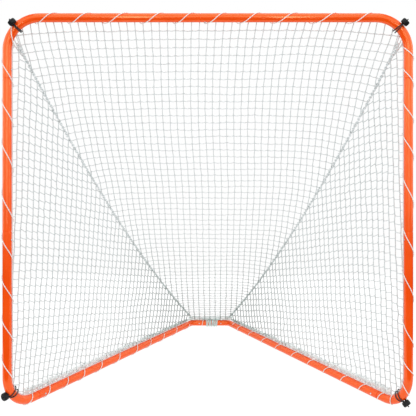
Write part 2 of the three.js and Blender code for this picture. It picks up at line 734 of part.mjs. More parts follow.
// The side nets. Columns stand on the rail and reach the seam; rows run from the post to the seam.
for (const [hand, side] of SIDE_NAMES) {
  const sideKnots = new Map();
  const sideStrands = [];
  const join = (a, b) => sideStrands.push([a, b]);
  const rail = railBorder(hand);
  const post = postBorder(hand);
  const seamTop = seamAt(hand, 0).z;
  const drop = seamTop - LOW_Z - BORDER_R;
  for (let row = 0; row <= ROWS; row += 1) {
    for (let column = 0; column <= row; column += 1) {
      const t = shares[column];
      if (column === row) {
        sideKnots.set(`${column} ${row}`, besideSeam(hand, t, vec(0, 0, -1)));
        continue;
      }
      if (column === 0 && row === ROWS) continue;
      const foot = along(railPoint(hand, t * RAIL_LENGTH), rail, BORDER_R);
      if (row === ROWS) {
        sideKnots.set(`${column} ${row}`, foot);
        continue;
      }
      const height = seamTop - drop * shares[row] - 4 * SEAM_SAG * (1 - shares[row]) * t;
      if (column === 0) {
        const knot = along(place(hand * POST_X, 0, height), post, BORDER_R);
        sideKnots.set(`${column} ${row}`, knot);
        continue;
      }
      const top = besideSeam(hand, t, vec(0, 0, -1));
      const share = (top.z - height) / (top.z - foot.z);
      sideKnots.set(`${column} ${row}`, top.lerp(foot, share).setZ(height));
    }
  }
  // The border round the inside of the bottom corner's bend.
  const centre = along(place(hand * POST_X, 0, LOW_Z + BEND_R), railWay(hand), BEND_R);
  const inner = railInner(hand);
  const postLean = Math.atan2(post.dot(inner), post.dot(railWay(hand)));
  const bend = [0, 2, LOW_BUNGEE_STEP, 4, 6].map((step) => {
    const turn = ((step / BEND_STEPS) * Math.PI) / 2;
    const lean = THREE.MathUtils.lerp(postLean, -rad(BORDER_TILT_DEG), step / BEND_STEPS);
    const out = along(vec(0, 0, -Math.sin(turn)), railWay(hand), -Math.cos(turn));
    const knot = along(centre, out, BEND_R - BORDER_R * Math.cos(lean));
    sideKnots.set(`bend ${step}`, along(knot, inner, BORDER_R * Math.sin(lean)));
    return `bend ${step}`;
  });
  sideKnots.set("rail end", along(railPoint(hand, RAIL_BORDER_END_SHARE * RAIL_LENGTH), rail, BORDER_R));
  const bottom = [`0 ${ROWS - 1}`, ...bend];
  for (let column = 1; column < ROWS; column += 1) bottom.push(`${column} ${ROWS}`);
  bottom.push("rail end", `${ROWS} ${ROWS}`);
  for (let i = 1; i < bottom.length; i += 1) join(bottom[i - 1], bottom[i]);
  for (let row = 1; row <= ROWS; row += 1) {
    join(`${row - 1} ${row - 1}`, `${row} ${row}`);
    if (row < ROWS) {
      for (let column = 1; column <= row; column += 1) join(`${column - 1} ${row}`, `${column} ${row}`);
    }
    for (let column = 0; column < row; column += 1) {
      if (column > 0 || row < ROWS) join(`${column} ${row - 1}`, `${column} ${row}`);
    }
  }
  add(`side_net_${side}`, netSolid(sideKnots, sideStrands, railInner(hand).negate()), netting);

  // The cord along the seam.
  const seam = shares.map((t) => seamAt(hand, THREE.MathUtils.clamp(t, SEAM_TRIM_SHARE, 1 - SEAM_TRIM_SHARE)));
  add(`seam_cord_${side}`, cordSolid(seam, SEAM_R, SEAM_SIDES, () => inner), lacing);
}

// The lacings.
add(
  "lacing_crossbar",
  lacingSolid("crossbar", {
    start: place(0, 0, TOP_Z),
    way: vec(1, 0, 0),
    length: MOUTH,
    face: vec(0, -1, 0),
    border: crossbarBorder(),
    hand: -1,
    shares: CROSSBAR_SHARES,
  }),
  lacing,
);
add(
  "lacing_rear_bar",
  lacingSolid("rear bar", {
    start: place(0, DEPTH, LOW_Z),
    way: vec(1, 0, 0),
    length: REAR_WIDTH,
    face: vec(0, -1, 0),
    border: rearBorder(),
    hand: -1,
    shares: REAR_SHARES,
    standsOn: true,
  }),
  lacing,
);
for (const [hand, side] of SIDE_NAMES) {
  add(
    `lacing_post_${side}`,
    lacingSolid(`post ${side}`, {
      start: place(hand * POST_X, 0, TOP_Z),
      way: vec(0, 0, -1),
      length: TOP_Z,
      face: vec(0, -1, 0),
      border: postBorder(hand),
      hand: -1,
      shares: POST_SHARES.get(hand),
    }),
    lacing,
  );
  add(
    `lacing_rail_${side}`,
    lacingSolid(`rail ${side}`, {
      start: railPoint(hand, RAIL_BUTTON),
      way: railWay(hand),
      length: RAIL_LENGTH - RAIL_BUTTON,
      face: railInner(hand),
      border: railBorder(hand),
      hand: -hand,
      shares: RAIL_SHARES.get(hand),
      standsOn: true,
    }),
    lacing,
  );
}

// A bungee: a ball on an elastic loop that goes round the tube and the net's border there.
function addBungee(name, centre, way, towards, border) {
  const out = square(towards, way);
  const other = way.clone().cross(out);
  const ball = along(centre, out, BALL_OFF);
  const rings = [];
  for (let i = 1; i < BALL_RINGS; i += 1) {
    const angle = (i / BALL_RINGS) * Math.PI;
    const level = along(ball, out, -BALL_HALF * Math.cos(angle));
    rings.push(ring(level, way, out.clone().cross(way), BALL_R * Math.sin(angle), BALL_SIDES, 0.5));
  }
  add(`bungee_ball_${name}`, skin(rings, along(ball, out, -BALL_HALF), along(ball, out, BALL_HALF)), moulding);
  const loop = [];
  for (let i = 0; i < ELASTIC_STEPS; i += 1) {
    const angle = rad(ELASTIC_START_DEG + i * ELASTIC_STEP_DEG);
    const direction = along(out.clone().multiplyScalar(Math.cos(angle)), other, Math.sin(angle));
    const isNear = direction.angleTo(border) < rad(ELASTIC_NEAR_DEG);
    loop.push(along(centre, direction, isNear ? ELASTIC_BUMP : ELASTIC_CIRCLE));
  }
  for (const end of [loop[0], loop[loop.length - 1]]) {
    const towardsLoop = end.clone().sub(ball).normalize();
    const lean = towardsLoop.angleTo(out);
    const surface = 1 / Math.hypot(Math.cos(lean) / BALL_HALF, Math.sin(lean) / BALL_R);
    const edge = along(ball, towardsLoop, surface + ELASTIC_GAP);
    if (end === loop[0]) loop.unshift(edge);
    else loop.push(edge);
  }
  console.log(name, "bungee's least gap, mm:", leastGap(loop, ELASTIC_R).toFixed(1));
  add(`bungee_loop_${name}`, cordSolid(loop, ELASTIC_R, ELASTIC_SIDES, () => way), elastic);
}

const TOP_BUNGEES = new Map([[-1, vec(-0.5, -0.71, 0.5)], [1, vec(0.6, -0.62, 0.5)]]);
const LOW_BUNGEES = new Map([[-1, vec(-1, 0, 0)], [1, vec(0.33, -0.63, -0.7)]]);
for (const [hand, side] of SIDE_NAMES) {
  const topOut = vec(hand * Math.SQRT1_2, 0, Math.SQRT1_2);
  const topCentre = along(place(hand * (POST_X - BEND_R), 0, TOP_Z - BEND_R), topOut, BEND_R);
  const topWay = vec(hand * Math.SQRT1_2, 0, -Math.SQRT1_2);
  const topBorder = along(vec(0, Math.SQRT1_2, 0), topOut, -Math.SQRT1_2);
  addBungee(`top_${side}`, topCentre, topWay, TOP_BUNGEES.get(hand), topBorder);

  const angle = ((LOW_BUNGEE_STEP / BEND_STEPS) * Math.PI) / 2;
  const post = postBorder(hand);
  const inner = railInner(hand);
  const postLean = Math.atan2(post.dot(inner), post.dot(railWay(hand)));
  const lean = THREE.MathUtils.lerp(postLean, -rad(BORDER_TILT_DEG), angle / (Math.PI / 2));
  const inwards = along(vec(0, 0, Math.sin(angle)), railWay(hand), Math.cos(angle));
  const bendCentre = along(place(hand * POST_X, 0, LOW_Z + BEND_R), railWay(hand), BEND_R);
  const lowCentre = along(bendCentre, inwards, -BEND_R);
  const lowWay = along(vec(0, 0, -Math.cos(angle)), railWay(hand), Math.sin(angle));
  const lowBorder = along(inwards.clone().multiplyScalar(Math.cos(lean)), inner, Math.sin(lean));
  addBungee(`bottom_${side}`, lowCentre, lowWay, LOW_BUNGEES.get(hand), lowBorder);
}

export default group;
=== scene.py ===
# %% [markdown]
# # A backyard lacrosse goal
# The goal is a frame of orange tubes, a net on cords, and a few small fittings.
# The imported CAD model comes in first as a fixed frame. Each piece made here stands where the CAD piece is,
# and rides on the same body, so the snap buttons still move when a pose presses them.

import math

import bpy
import numpy as np
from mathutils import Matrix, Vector


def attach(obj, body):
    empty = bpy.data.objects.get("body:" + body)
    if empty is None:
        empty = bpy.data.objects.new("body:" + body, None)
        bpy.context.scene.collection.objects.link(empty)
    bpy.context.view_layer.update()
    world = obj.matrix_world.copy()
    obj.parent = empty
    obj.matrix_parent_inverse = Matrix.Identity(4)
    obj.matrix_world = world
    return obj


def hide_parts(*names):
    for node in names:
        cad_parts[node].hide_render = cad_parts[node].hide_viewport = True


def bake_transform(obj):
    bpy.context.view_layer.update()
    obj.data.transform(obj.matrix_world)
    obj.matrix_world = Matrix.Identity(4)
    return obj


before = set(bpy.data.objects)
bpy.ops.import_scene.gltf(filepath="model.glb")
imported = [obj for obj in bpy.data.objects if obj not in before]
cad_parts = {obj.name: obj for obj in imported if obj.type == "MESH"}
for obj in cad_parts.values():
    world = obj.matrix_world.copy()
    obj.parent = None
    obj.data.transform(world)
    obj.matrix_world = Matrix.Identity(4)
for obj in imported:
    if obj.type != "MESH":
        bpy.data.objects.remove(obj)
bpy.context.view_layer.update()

# %% [markdown]
# ## The goal's real sizes
# The mouth of a lacrosse goal is 6 ft square, and the other sizes follow from it and from standard tube and
# net. They are repeated from the CAD source in metres, because this script can't read that file. Y counts
# from the middle of the goal's depth, and a point "behind the posts" is counted from their axes.

# %% Sizes
MOUTH = 1.829
DEPTH = 1.524
TUBE_R = 0.02065
WALL = 0.0015
BEND_R = 0.152
REAR_BEND_R = 0.038
FIT_GAP = 0.0003
NECK = 0.003
INSERT = 0.075
LOW_Z = 0.0247
TOP_Z = MOUTH + TUBE_R
POST_X = MOUTH / 2 + TUBE_R
REAR_X = 0.137
UPPER_JOINT_Z = 0.8472 * TOP_Z
LOWER_JOINT_Z = 0.4617 * TOP_Z
RAIL_JOINT = 0.188
CROSSBAR_JOINT_X = -0.0345
REAR_JOINT_X = 0.108
MESH = 0.0381
STRAND_R = 0.0024
CORD_R = 0.0021
BORDER_R = TUBE_R + 0.00323
SIDES = {"left": -1, "right": 1}
RAIL_LENGTH = math.hypot(POST_X - REAR_X, DEPTH)
SPLAY = math.atan2(POST_X - REAR_X, DEPTH)
seed = np.random.default_rng(38)
print("rail:", round(RAIL_LENGTH, 3), "m, splay:", round(math.degrees(SPLAY), 1), "degrees")

# %% [markdown]
# ## The camera
# The photograph looks straight into the mouth, level, from about 2.6 m in front of the posts.
# The lens stands at the height of the vanishing point, a little above the middle of the mouth,
# so a small shift frames the goal and keeps every upright parallel.

# %% Camera
camera_data = bpy.data.cameras.new("photo_camera")
camera = bpy.data.objects.new("photo_camera", camera_data)
bpy.context.scene.collection.objects.link(camera)
camera.location = (0.0275, -3.3324, 1.110)
camera.rotation_euler = (math.pi / 2, 0, 0)
camera_data.sensor_width = 36
camera_data.lens = 47.735
camera_data.shift_x = -0.0137
camera_data.shift_y = -0.0757
camera_data.clip_end = 100
bpy.context.scene.camera = camera
print("camera at", tuple(round(v, 3) for v in camera.location))


# %% [markdown]
# ## From arrays of points to a mesh
# Every new piece is a set of rings of points, one ring after the other along a line.
# Neighbouring rings are joined by four-sided faces, and the two ends are closed by a fan round a pole point.
# The points are worked out as whole arrays, which is fast even for the thousands of strands of a net.

# %% Rings to mesh
def unit(v):
    """Vectors divided by their lengths."""
    return v / np.linalg.norm(v, axis=-1, keepdims=True)


def square_to(v, way):
    """The part of v that is square to the unit vector way, made unit: v - (v . way) way."""
    way = np.broadcast_to(way, np.broadcast_shapes(np.shape(v), np.shape(way)))
    return unit(v - (v * way).sum(-1, keepdims=True) * way)


def ring_faces(count, sides, loop):
    """Corner numbers of the four-sided faces between rings: ring i with i + 1, side k with k + 1."""
    i = np.arange(count if loop else count - 1)[:, None]
    k = np.arange(sides)[None, :]
    a, b = i * sides + k, i * sides + (k + 1) % sides
    c, d = (i + 1) % count * sides + (k + 1) % sides, (i + 1) % count * sides + k
    return np.stack([a, b, c, d], -1).reshape(-1, 4)


def fan_faces(sides, first, last, pole_a, pole_b):
    """Triangles that close both ends: each side of the end ring with that end's pole."""
    k = np.arange(sides)
    n = (k + 1) % sides
    start = np.stack([first + n, first + k, np.full(sides, pole_a)], -1)
    end = np.stack([last + k, last + n, np.full(sides, pole_b)], -1)
    return np.concatenate([start, end])


def put_mesh(name, points, quads, triangles, uv=None, sharp_deg=40, upright=None):
    """A mesh object from points and faces. uv and upright, a mark on hanging twine, are given per point."""
    mesh = bpy.data.meshes.new(name)
    corners = np.concatenate([quads.ravel(), triangles.ravel()]).astype(np.int32)
    sizes = np.concatenate([np.full(len(quads), 4), np.full(len(triangles), 3)]).astype(np.int32)
    mesh.vertices.add(len(points))
    mesh.vertices.foreach_set("co", np.ascontiguousarray(points, np.float32).ravel())
    mesh.loops.add(len(corners))
    mesh.loops.foreach_set("vertex_index", corners)
    mesh.polygons.add(len(sizes))
    mesh.polygons.foreach_set("loop_start", np.concatenate([[0], np.cumsum(sizes)[:-1]]).astype(np.int32))
    mesh.update(calc_edges=True)
    mesh.shade_smooth()
    if uv is not None:
        layer = mesh.uv_layers.new(name="along")
        layer.data.foreach_set("uv", uv[corners].astype(np.float32).ravel())
    if upright is not None:
        mark = mesh.attributes.new("upright", "FLOAT", "POINT")
        mark.data.foreach_set("value", upright.astype(np.float32))
    mesh.set_sharp_from_angle(angle=math.radians(sharp_deg))
    mesh.validate()
    piece = bpy.data.objects.new(name, mesh)
    bpy.context.scene.collection.objects.link(piece)
    return piece


def turned(name, profile, poles, centre, out, way, sides):
    """A solid turned round the axis out through centre, from a profile of (r, h) and the two poles' heights:
    rings centre + h out + r (cos a way + sin a (out x way))."""
    a = np.linspace(0, 2 * math.pi, sides, endpoint=False)[None, :, None]
    r, height = profile[:, 0, None, None], profile[:, 1, None, None]
    rings = centre + out * height + r * (np.cos(a) * way + np.sin(a) * np.cross(out, way))
    points = np.concatenate([rings.reshape(-1, 3), centre + out * np.array(poles)[:, None]])
    count = len(profile) * sides
    fans = fan_faces(sides, 0, count - sides, count, count + 1)
    return put_mesh(name, points, ring_faces(len(profile), sides, False), fans)


# %% [markdown]
# ## Lines through space
# A tube of the frame runs straight, turns one round bend and runs straight again. The line is given by its
# corners and the bend's radius, and any distance along it gives a point and a direction.

# %% Bent line
def behind(x, y, z):
    """A point whose y is counted backwards from the posts' axes."""
    return np.array([x, y - DEPTH / 2, z])


def bent_line(corners, radius):
    """Returns (at, length, bend): at(s) is the point and the way on at distance s, and the line turns
    between the two distances in bend. There the point is start + way r sin a + inward r (1 - cos a), with a
    the angle turned."""
    corners = np.array(corners, float)
    ways = unit(np.diff(corners, axis=0))
    first = np.linalg.norm(corners[1] - corners[0])
    if len(corners) == 2:
        def straight(s):
            s = np.asarray(s, float)[..., None]
            return corners[0] + s * ways[0], np.broadcast_to(ways[0], s.shape[:-1] + (3,))

        return straight, first, ()
    turn = math.acos(float(ways[0] @ ways[1]))
    reach = radius * math.tan(turn / 2)
    inward = square_to(ways[1], ways[0])
    begin, end = first - reach, first - reach + radius * turn
    length = end + np.linalg.norm(corners[2] - corners[1]) - reach

    def at(s):
        s = np.asarray(s, float)[..., None]
        a = np.clip((s - begin) / radius, 0, turn)
        way = ways[0] * np.cos(a) + inward * np.sin(a)
        bent = corners[0] + ways[0] * (begin + radius * np.sin(a)) + inward * radius * (1 - np.cos(a))
        return bent + way * (np.minimum(s - begin, 0) + np.maximum(s - end, 0)), way

    return at, length, (begin, end)


# %% [markdown]
# ## The tubes
# Each tube of the real frame is drawn steel, bent cold, with one end or both squeezed down (swaged) so that
# it slides into the next tube. Here a closed profile of distance and radius is carried along the bent line:
# out along the outside, over a rounded lip, and back along the bore. That gives the wall its real
# thickness.

# %% Tube
TUBE_SIDES = 48
SQUEEZE = 0.0004  # the neck's first step outwards, and how far a plain end stands back from its joint
SKIN_SHARP = 50
HOLD = 0.003
RING_STEP = 0.03


def swaged_tube(name, at, length, bend, side, start_swaged, end_swaged):
    """A hollow tube: rings point(s) + r (cos a side + sin a (way x side)) for a closed profile of (s, r).
    More rings stand close to both ends and every few centimetres. Without them the shading's normals, which
    tilt at the rounded ends, would be blended along the whole tube and bend its reflections."""
    swaged_r = TUBE_R - WALL - FIT_GAP
    lip = WALL * 0.45
    middle = np.linspace(*bend, 33) if bend else np.zeros(0)
    necked = [(-INSERT, swaged_r - lip), (lip - INSERT, swaged_r), (-0.0005, swaged_r)]
    necked += [(0.0009, swaged_r + SQUEEZE), (NECK * 0.7, TUBE_R - 0.0006)]
    necked += [(NECK, TUBE_R - 0.0001), (NECK + 0.0006, TUBE_R)]
    plain = [(SQUEEZE, TUBE_R - lip), (SQUEEZE + lip * 0.3, TUBE_R - lip * 0.3), (SQUEEZE + lip, TUBE_R)]
    start, end = (necked if swaged else plain for swaged in (start_swaged, end_swaged))
    outside = start + [(s, TUBE_R) for s in middle] + [(length - s, r) for s, r in reversed(end)]
    s, r = np.array(outside).T
    more = np.concatenate([s[:5] + HOLD, s[-5:] - HOLD, np.arange(s[0] + 0.02, s[-1], RING_STEP)])
    more = more[(np.abs(more[:, None] - s).min(1) > 0.0008) & (more > s[0]) & (more < s[-1])]
    rings_at = np.unique(np.concatenate([s, more]))
    s, r = rings_at, np.interp(rings_at, s, r)
    s, r = np.concatenate([s, s[::-1]]), np.concatenate([r, np.minimum(r[::-1], r[::-1] - WALL + lip)])
    point, way = at(s)
    side = np.broadcast_to(np.array(side, float), way.shape)
    other = np.cross(way, side)
    a = np.linspace(0, 2 * math.pi, TUBE_SIDES, endpoint=False)[None, :, None]
    rings = point[:, None] + r[:, None, None] * (np.cos(a) * side[:, None] + np.sin(a) * other[:, None])
    quads = ring_faces(len(s), TUBE_SIDES, True)
    return put_mesh(name, rings.reshape(-1, 3), quads, np.zeros((0, 3), int), sharp_deg=SKIN_SHARP)


# %% [markdown]
# ## The snap buttons' holes
# A snap button locks each joint: it stands through a hole in both tubes. The holes are drilled, so they are
# cut here by a round cutter with a Boolean modifier, whose result is put into the mesh at once.

# %% Holes
CUT_FROM, CUT_TO, CUT_SIDES = 0.008, 0.03, 24


def drill(piece, centre, out, way, radius):
    """Cuts a round hole: the cutter stands round out, from inside the tube's bore to beyond its skin."""
    profile = np.array([(radius, CUT_FROM), (radius, CUT_TO)])
    cutter = turned("cutter", profile, (CUT_FROM, CUT_TO), centre, out, way, CUT_SIDES)
    cut = piece.modifiers.new("hole", "BOOLEAN")
    cut.operation, cut.object, cut.solver = "DIFFERENCE", cutter, "EXACT"
    made = piece.evaluated_get(bpy.context.evaluated_depsgraph_get())
    piece.data = bpy.data.meshes.new_from_object(made)
    piece.modifiers.clear()
    bpy.data.objects.remove(cutter)


# %% [markdown]
# ## Colours and shader nodes
# Colours are written as sRGB hex values, as a paint card gives them, and one function turns them to the
# linear values that a shader needs. One small function adds a node with its settings and links.

# %% Node helper
def linear(hex_colour):
    """sRGB hex to linear RGBA: c / 12.92 below 0.04045, else ((c + 0.055) / 1.055) ^ 2.4."""
    c = np.array([int(hex_colour[i : i + 2], 16) / 255 for i in (1, 3, 5)])
    return (*np.where(c <= 0.04045, c / 12.92, ((c + 0.055) / 1.055) ** 2.4), 1.0)


def add_node(tree, kind, inputs=None, stops=(), **settings):
    """One node. Each input takes a plain value, or the output socket of another node, and the stops of a
    colour ramp are pairs of a position and a hex colour."""
    node = tree.nodes.new(kind)
    for key, value in settings.items():
        setattr(node, key, value)
    for key, value in (inputs or {}).items():
        if isinstance(value, bpy.types.NodeSocket):
            tree.links.new(value, node.inputs[key])
        else:
            node.inputs[key].default_value = value
    for k, (position, hex_colour) in enumerate(stops):
        node.color_ramp.elements[k].color = linear(hex_colour)
        node.color_ramp.elements[k].position = position
    return node


def new_finish(name):
    """An empty material: its node tree, and its Principled shader already joined to the output."""
    finish = bpy.data.materials.new(name)
    finish.use_nodes = True
    return finish, finish.node_tree, finish.node_tree.nodes["Principled BSDF"]


# %% [markdown]
# ## Powder coat
# The tubes are powder-coated: a thick plastic skin baked on the steel. It is semi-glossy, very even in
# colour, and has a slight orange peel, a ripple about 2 mm across, which softens the edges of its
# reflections. Its colour and gloss change by a trace in clouds about 110 mm across.

# %% Powder coat
powder_coat, tree, shader = new_finish("orange_powder_coat")
place_on = add_node(tree, "ShaderNodeTexCoord").outputs["Object"]
cloud = add_node(tree, "ShaderNodeTexNoise", {"Vector": place_on, "Scale": 9.0, "Detail": 3.0})
peel = add_node(tree, "ShaderNodeTexNoise", {"Vector": place_on, "Scale": 1 / 0.0022, "Detail": 1.0})
tones = [(0.3, "#F24A03"), (0.7, "#FB5106")]
orange = add_node(tree, "ShaderNodeValToRGB", {"Fac": cloud.outputs["Fac"]}, tones)
tree.links.new(orange.outputs["Color"], shader.inputs["Base Color"])
rough = add_node(tree, "ShaderNodeMapRange", {"Value": cloud.outputs["Fac"], "To Min": 0.14, "To Max": 0.18})
tree.links.new(rough.outputs["Result"], shader.inputs["Roughness"])
bump = add_node(tree, "ShaderNodeBump", {"Height": peel.outputs["Fac"], "Strength": 0.04, "Distance": 0.0004})
tree.links.new(bump.outputs["Normal"], shader.inputs["Normal"])
shader.inputs["Specular IOR Level"].default_value = 0.8
shader.inputs["Specular Tint"].default_value = linear("#FFF7B5")
print("powder coat nodes:", len(tree.nodes))


# %% [markdown]
# ## Cord and net twine
# Net twine and lacing are twisted yarn. Its lay shows as fine slanting grooves, so the colour and the bump
# follow a wave across the piece's own UV map, where u is the distance along the cord in metres and v the
# way round it. The colour is darker in the grooves: painted shade.

# %% Twine finishes
ONE_BAND = 0.314  # the wave texture's scale at which one band is one unit long
# In the grooves the twine has its dark colour, which is painted shade; the soil patches darken it too.
GROOVE_STOPS = (0.05, 0.55)  # the pattern's values at which twine has its dark and its light colour


def twine_finish(name, dark, light, lay, turns, hanging=(), rear_tint="#FFFFFF"):
    """Twisted yarn: slanting bands, one every lay metres along the cord, with shade painted darker in the
    grooves.
    Hanging twine may have its own darker pair of colours, which is painted shade: level rows catch more light
    from above.
    Towards the rear bar the tint is multiplied in, which darkens the twine there.
    Soil dulls it in patches about 40 mm across."""
    finish, tree, shader = new_finish(name)
    uv = add_node(tree, "ShaderNodeUVMap", uv_map="along")
    spread = add_node(tree, "ShaderNodeMapping", {"Vector": uv.outputs["UV"], "Scale": (1 / lay, turns, 1)})
    groove = {"Vector": spread.outputs["Vector"], "Scale": ONE_BAND, "Distortion": 0.6, "Detail": 1.0}
    kind = {"wave_type": "BANDS", "bands_direction": "DIAGONAL", "wave_profile": "SIN"}
    wave = add_node(tree, "ShaderNodeTexWave", groove, **kind)
    place_on = add_node(tree, "ShaderNodeTexCoord").outputs["Object"]
    soil = add_node(tree, "ShaderNodeTexNoise", {"Vector": place_on, "Scale": 25.0, "Detail": 3.0})
    product = {0: wave.outputs["Fac"], 1: soil.outputs["Fac"]}
    both = add_node(tree, "ShaderNodeMath", product, operation="MULTIPLY")
    place = add_node(tree, "ShaderNodeSeparateXYZ", {"Vector": place_on})
    rearward = {"Value": place.outputs["Y"], "From Min": -0.1, "From Max": 0.65}
    rearward = add_node(tree, "ShaderNodeMapRange", rearward).outputs["Result"]
    groove_depth, tones = {"Fac": both.outputs["Value"]}, zip(GROOVE_STOPS, hanging or (dark, light))
    colour = add_node(tree, "ShaderNodeValToRGB", groove_depth, tones).outputs["Color"]
    tint = {0: rearward, 6: colour, 7: linear(rear_tint)}
    colour = add_node(tree, "ShaderNodeMix", tint, data_type="RGBA", blend_type="MULTIPLY").outputs[2]
    # Hanging twine gets the darker pair, painted shade, and rows keep the lighter pair.
    if hanging:
        mark = add_node(tree, "ShaderNodeAttribute", attribute_name="upright")
        tones = zip(GROOVE_STOPS, (dark, light))
        lighter = add_node(tree, "ShaderNodeValToRGB", groove_depth, tones).outputs["Color"]
        choice = {0: mark.outputs["Fac"], 6: lighter, 7: colour}
        colour = add_node(tree, "ShaderNodeMix", choice, data_type="RGBA").outputs[2]
    tree.links.new(colour, shader.inputs["Base Color"])
    relief = {"Height": wave.outputs["Fac"], "Strength": 0.5, "Distance": 0.0004}
    bump = add_node(tree, "ShaderNodeBump", relief)
    tree.links.new(bump.outputs["Normal"], shader.inputs["Normal"])
    shader.inputs["Roughness"].default_value = 0.85
    shader.inputs["Sheen Weight"].default_value = 0.15
    shader.inputs["Sheen Roughness"].default_value = 0.6
    return finish


# The darker colours of hanging twine are painted shade.
hanging_painted_shade = ("#CCD2D1", "#DFE3E2")
net_twine = twine_finish("white_polyester_net_twine", "#DADEDD", "#EDEFEE", 0.004, 1, hanging_painted_shade, "#84948F")
gathered_twine = twine_finish("white_gathered_net_twine", "#E2E7E5", "#FCFDFC", 0.004, 1, (), "#DAE8E4")
seam_cord_finish = twine_finish("grey_white_seam_cord", "#CCD3D2", "#FAFBFB", 0.006, 1, (), "#D6DEDC")
lacing_cord = twine_finish("white_twisted_lacing_cord", "#DDDCD7", "#FAF9F5", 0.006, 1)
print("twine finishes:", net_twine.name, lacing_cord.name)

# %% [markdown]
# ## Black fittings and zinc
# The bungee balls are moulded polypropylene: near black, with a satin skin that shows a faint grain.
# The elastic has a braided sheath. The snap buttons and their springs are steel with bright zinc plating.

# %% Black and zinc finishes
black_moulding, tree, shader = new_finish("black_moulded_polypropylene")
place_on = add_node(tree, "ShaderNodeTexCoord").outputs["Object"]
grain = add_node(tree, "ShaderNodeTexNoise", {"Vector": place_on, "Scale": 1 / 0.0012, "Detail": 2.0})
tones = [(0.3, "#0B0D0F"), (0.7, "#17191C")]
black = add_node(tree, "ShaderNodeValToRGB", {"Fac": grain.outputs["Fac"]}, tones)
tree.links.new(black.outputs["Color"], shader.inputs["Base Color"])
relief = {"Height": grain.outputs["Fac"], "Strength": 0.25, "Distance": 0.0003}
bump = add_node(tree, "ShaderNodeBump", relief)
tree.links.new(bump.outputs["Normal"], shader.inputs["Normal"])
shader.inputs["Roughness"].default_value = 0.5
shader.inputs["Specular IOR Level"].default_value = 0.2

black_elastic = twine_finish("black_braided_elastic", "#08090A", "#24272A", 0.0035, 2)

zinc_plate, tree, shader = new_finish("bright_zinc_plate")
place_on = add_node(tree, "ShaderNodeTexCoord").outputs["Object"]
spangle = add_node(tree, "ShaderNodeTexVoronoi", {"Vector": place_on, "Scale": 1 / 0.0025})
tones = [(0, "#B4B9BE"), (1, "#D5D9DC")]
zinc_grey = add_node(tree, "ShaderNodeValToRGB", {"Fac": spangle.outputs["Distance"]}, tones)
tree.links.new(zinc_grey.outputs["Color"], shader.inputs["Base Color"])
dull = {"Value": spangle.outputs["Distance"], "To Min": 0.22, "To Max": 0.36}
rough = add_node(tree, "ShaderNodeMapRange", dull)
tree.links.new(rough.outputs["Result"], shader.inputs["Roughness"])
shader.inputs["Metallic"].default_value = 1.0
print("black and zinc finishes made")


def finished(piece, finish, slot, body="goal", *nodes):
    """Gives a piece its finish, its body and the CAD nodes that it stands for; the record's slot is not used.
    """
    piece.data.materials.clear()
    piece.data.materials.append(finish)
    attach(piece, body)
    if nodes:
        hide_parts(*nodes)
    return piece


# %% [markdown]
# ## Where the joints and buttons are
# Each button is described by the point on the tube's axis, the direction along the tube into the swaged end,
# and the direction in which the button stands out.

# %% Joints
def rail_way(hand):
    """Along a floor rail, from the mouth to the rear bar."""
    return np.array([-hand * math.sin(SPLAY), math.cos(SPLAY), 0.0])


def rail_inner(hand):
    """Sideways out of a floor rail, to the inside of the goal."""
    return np.array([-hand * math.cos(SPLAY), -math.sin(SPLAY), 0.0])


def rail_point(hand, s):
    """The rail's axis at distance s from the front corner's vertex."""
    return behind(hand * POST_X, 0, LOW_Z) + rail_way(hand) * np.asarray(s, float)[..., None]


X_WAY, Y_WAY, Z_WAY = np.eye(3)
buttons = {"crossbar": (behind(CROSSBAR_JOINT_X + 0.022, 0, TOP_Z), X_WAY, -Z_WAY)}
for side, hand in SIDES.items():
    post = hand * POST_X
    buttons[f"upper_post_{side}"] = (behind(post, 0, UPPER_JOINT_Z + 0.04), Z_WAY, -hand * X_WAY)
    buttons[f"lower_post_{side}"] = (behind(post, 0, LOWER_JOINT_Z - 0.04), -Z_WAY, -hand * X_WAY)
    buttons[f"rail_{side}"] = (rail_point(hand, RAIL_JOINT + 0.036), rail_way(hand), rail_inner(hand))
    buttons[f"rear_bar_{side}"] = (behind(hand * (REAR_JOINT_X - 0.028), DEPTH, LOW_Z), -hand * X_WAY, -Y_WAY)
print("snap buttons:", len(buttons))

# %% [markdown]
# ## The frame's nine tubes
# Two top corners meet in the crossbar, a straight tube makes the middle of each post, two bottom corners turn
# back into the floor rails, and the two rail tubes meet in the short rear bar.

# %% Frame tubes
HOLE_R = 0.0043


def frame_tube(node, corners, radius, side, start_swaged, end_swaged, holes):
    """One tube of the frame in the place of its CAD node, with its button holes."""
    at, length, bend = bent_line(corners, radius)
    name = node.replace("_tube", "") + "_steel"
    piece = swaged_tube(name, at, length, bend, side, start_swaged, end_swaged)
    for spot in holes:
        centre, way, out = buttons[spot]
        drill(piece, centre, out, way, HOLE_R)
    piece.data.set_sharp_from_angle(angle=math.radians(SKIN_SHARP))
    return finished(piece, powder_coat, "orange_enamel", "goal", node)


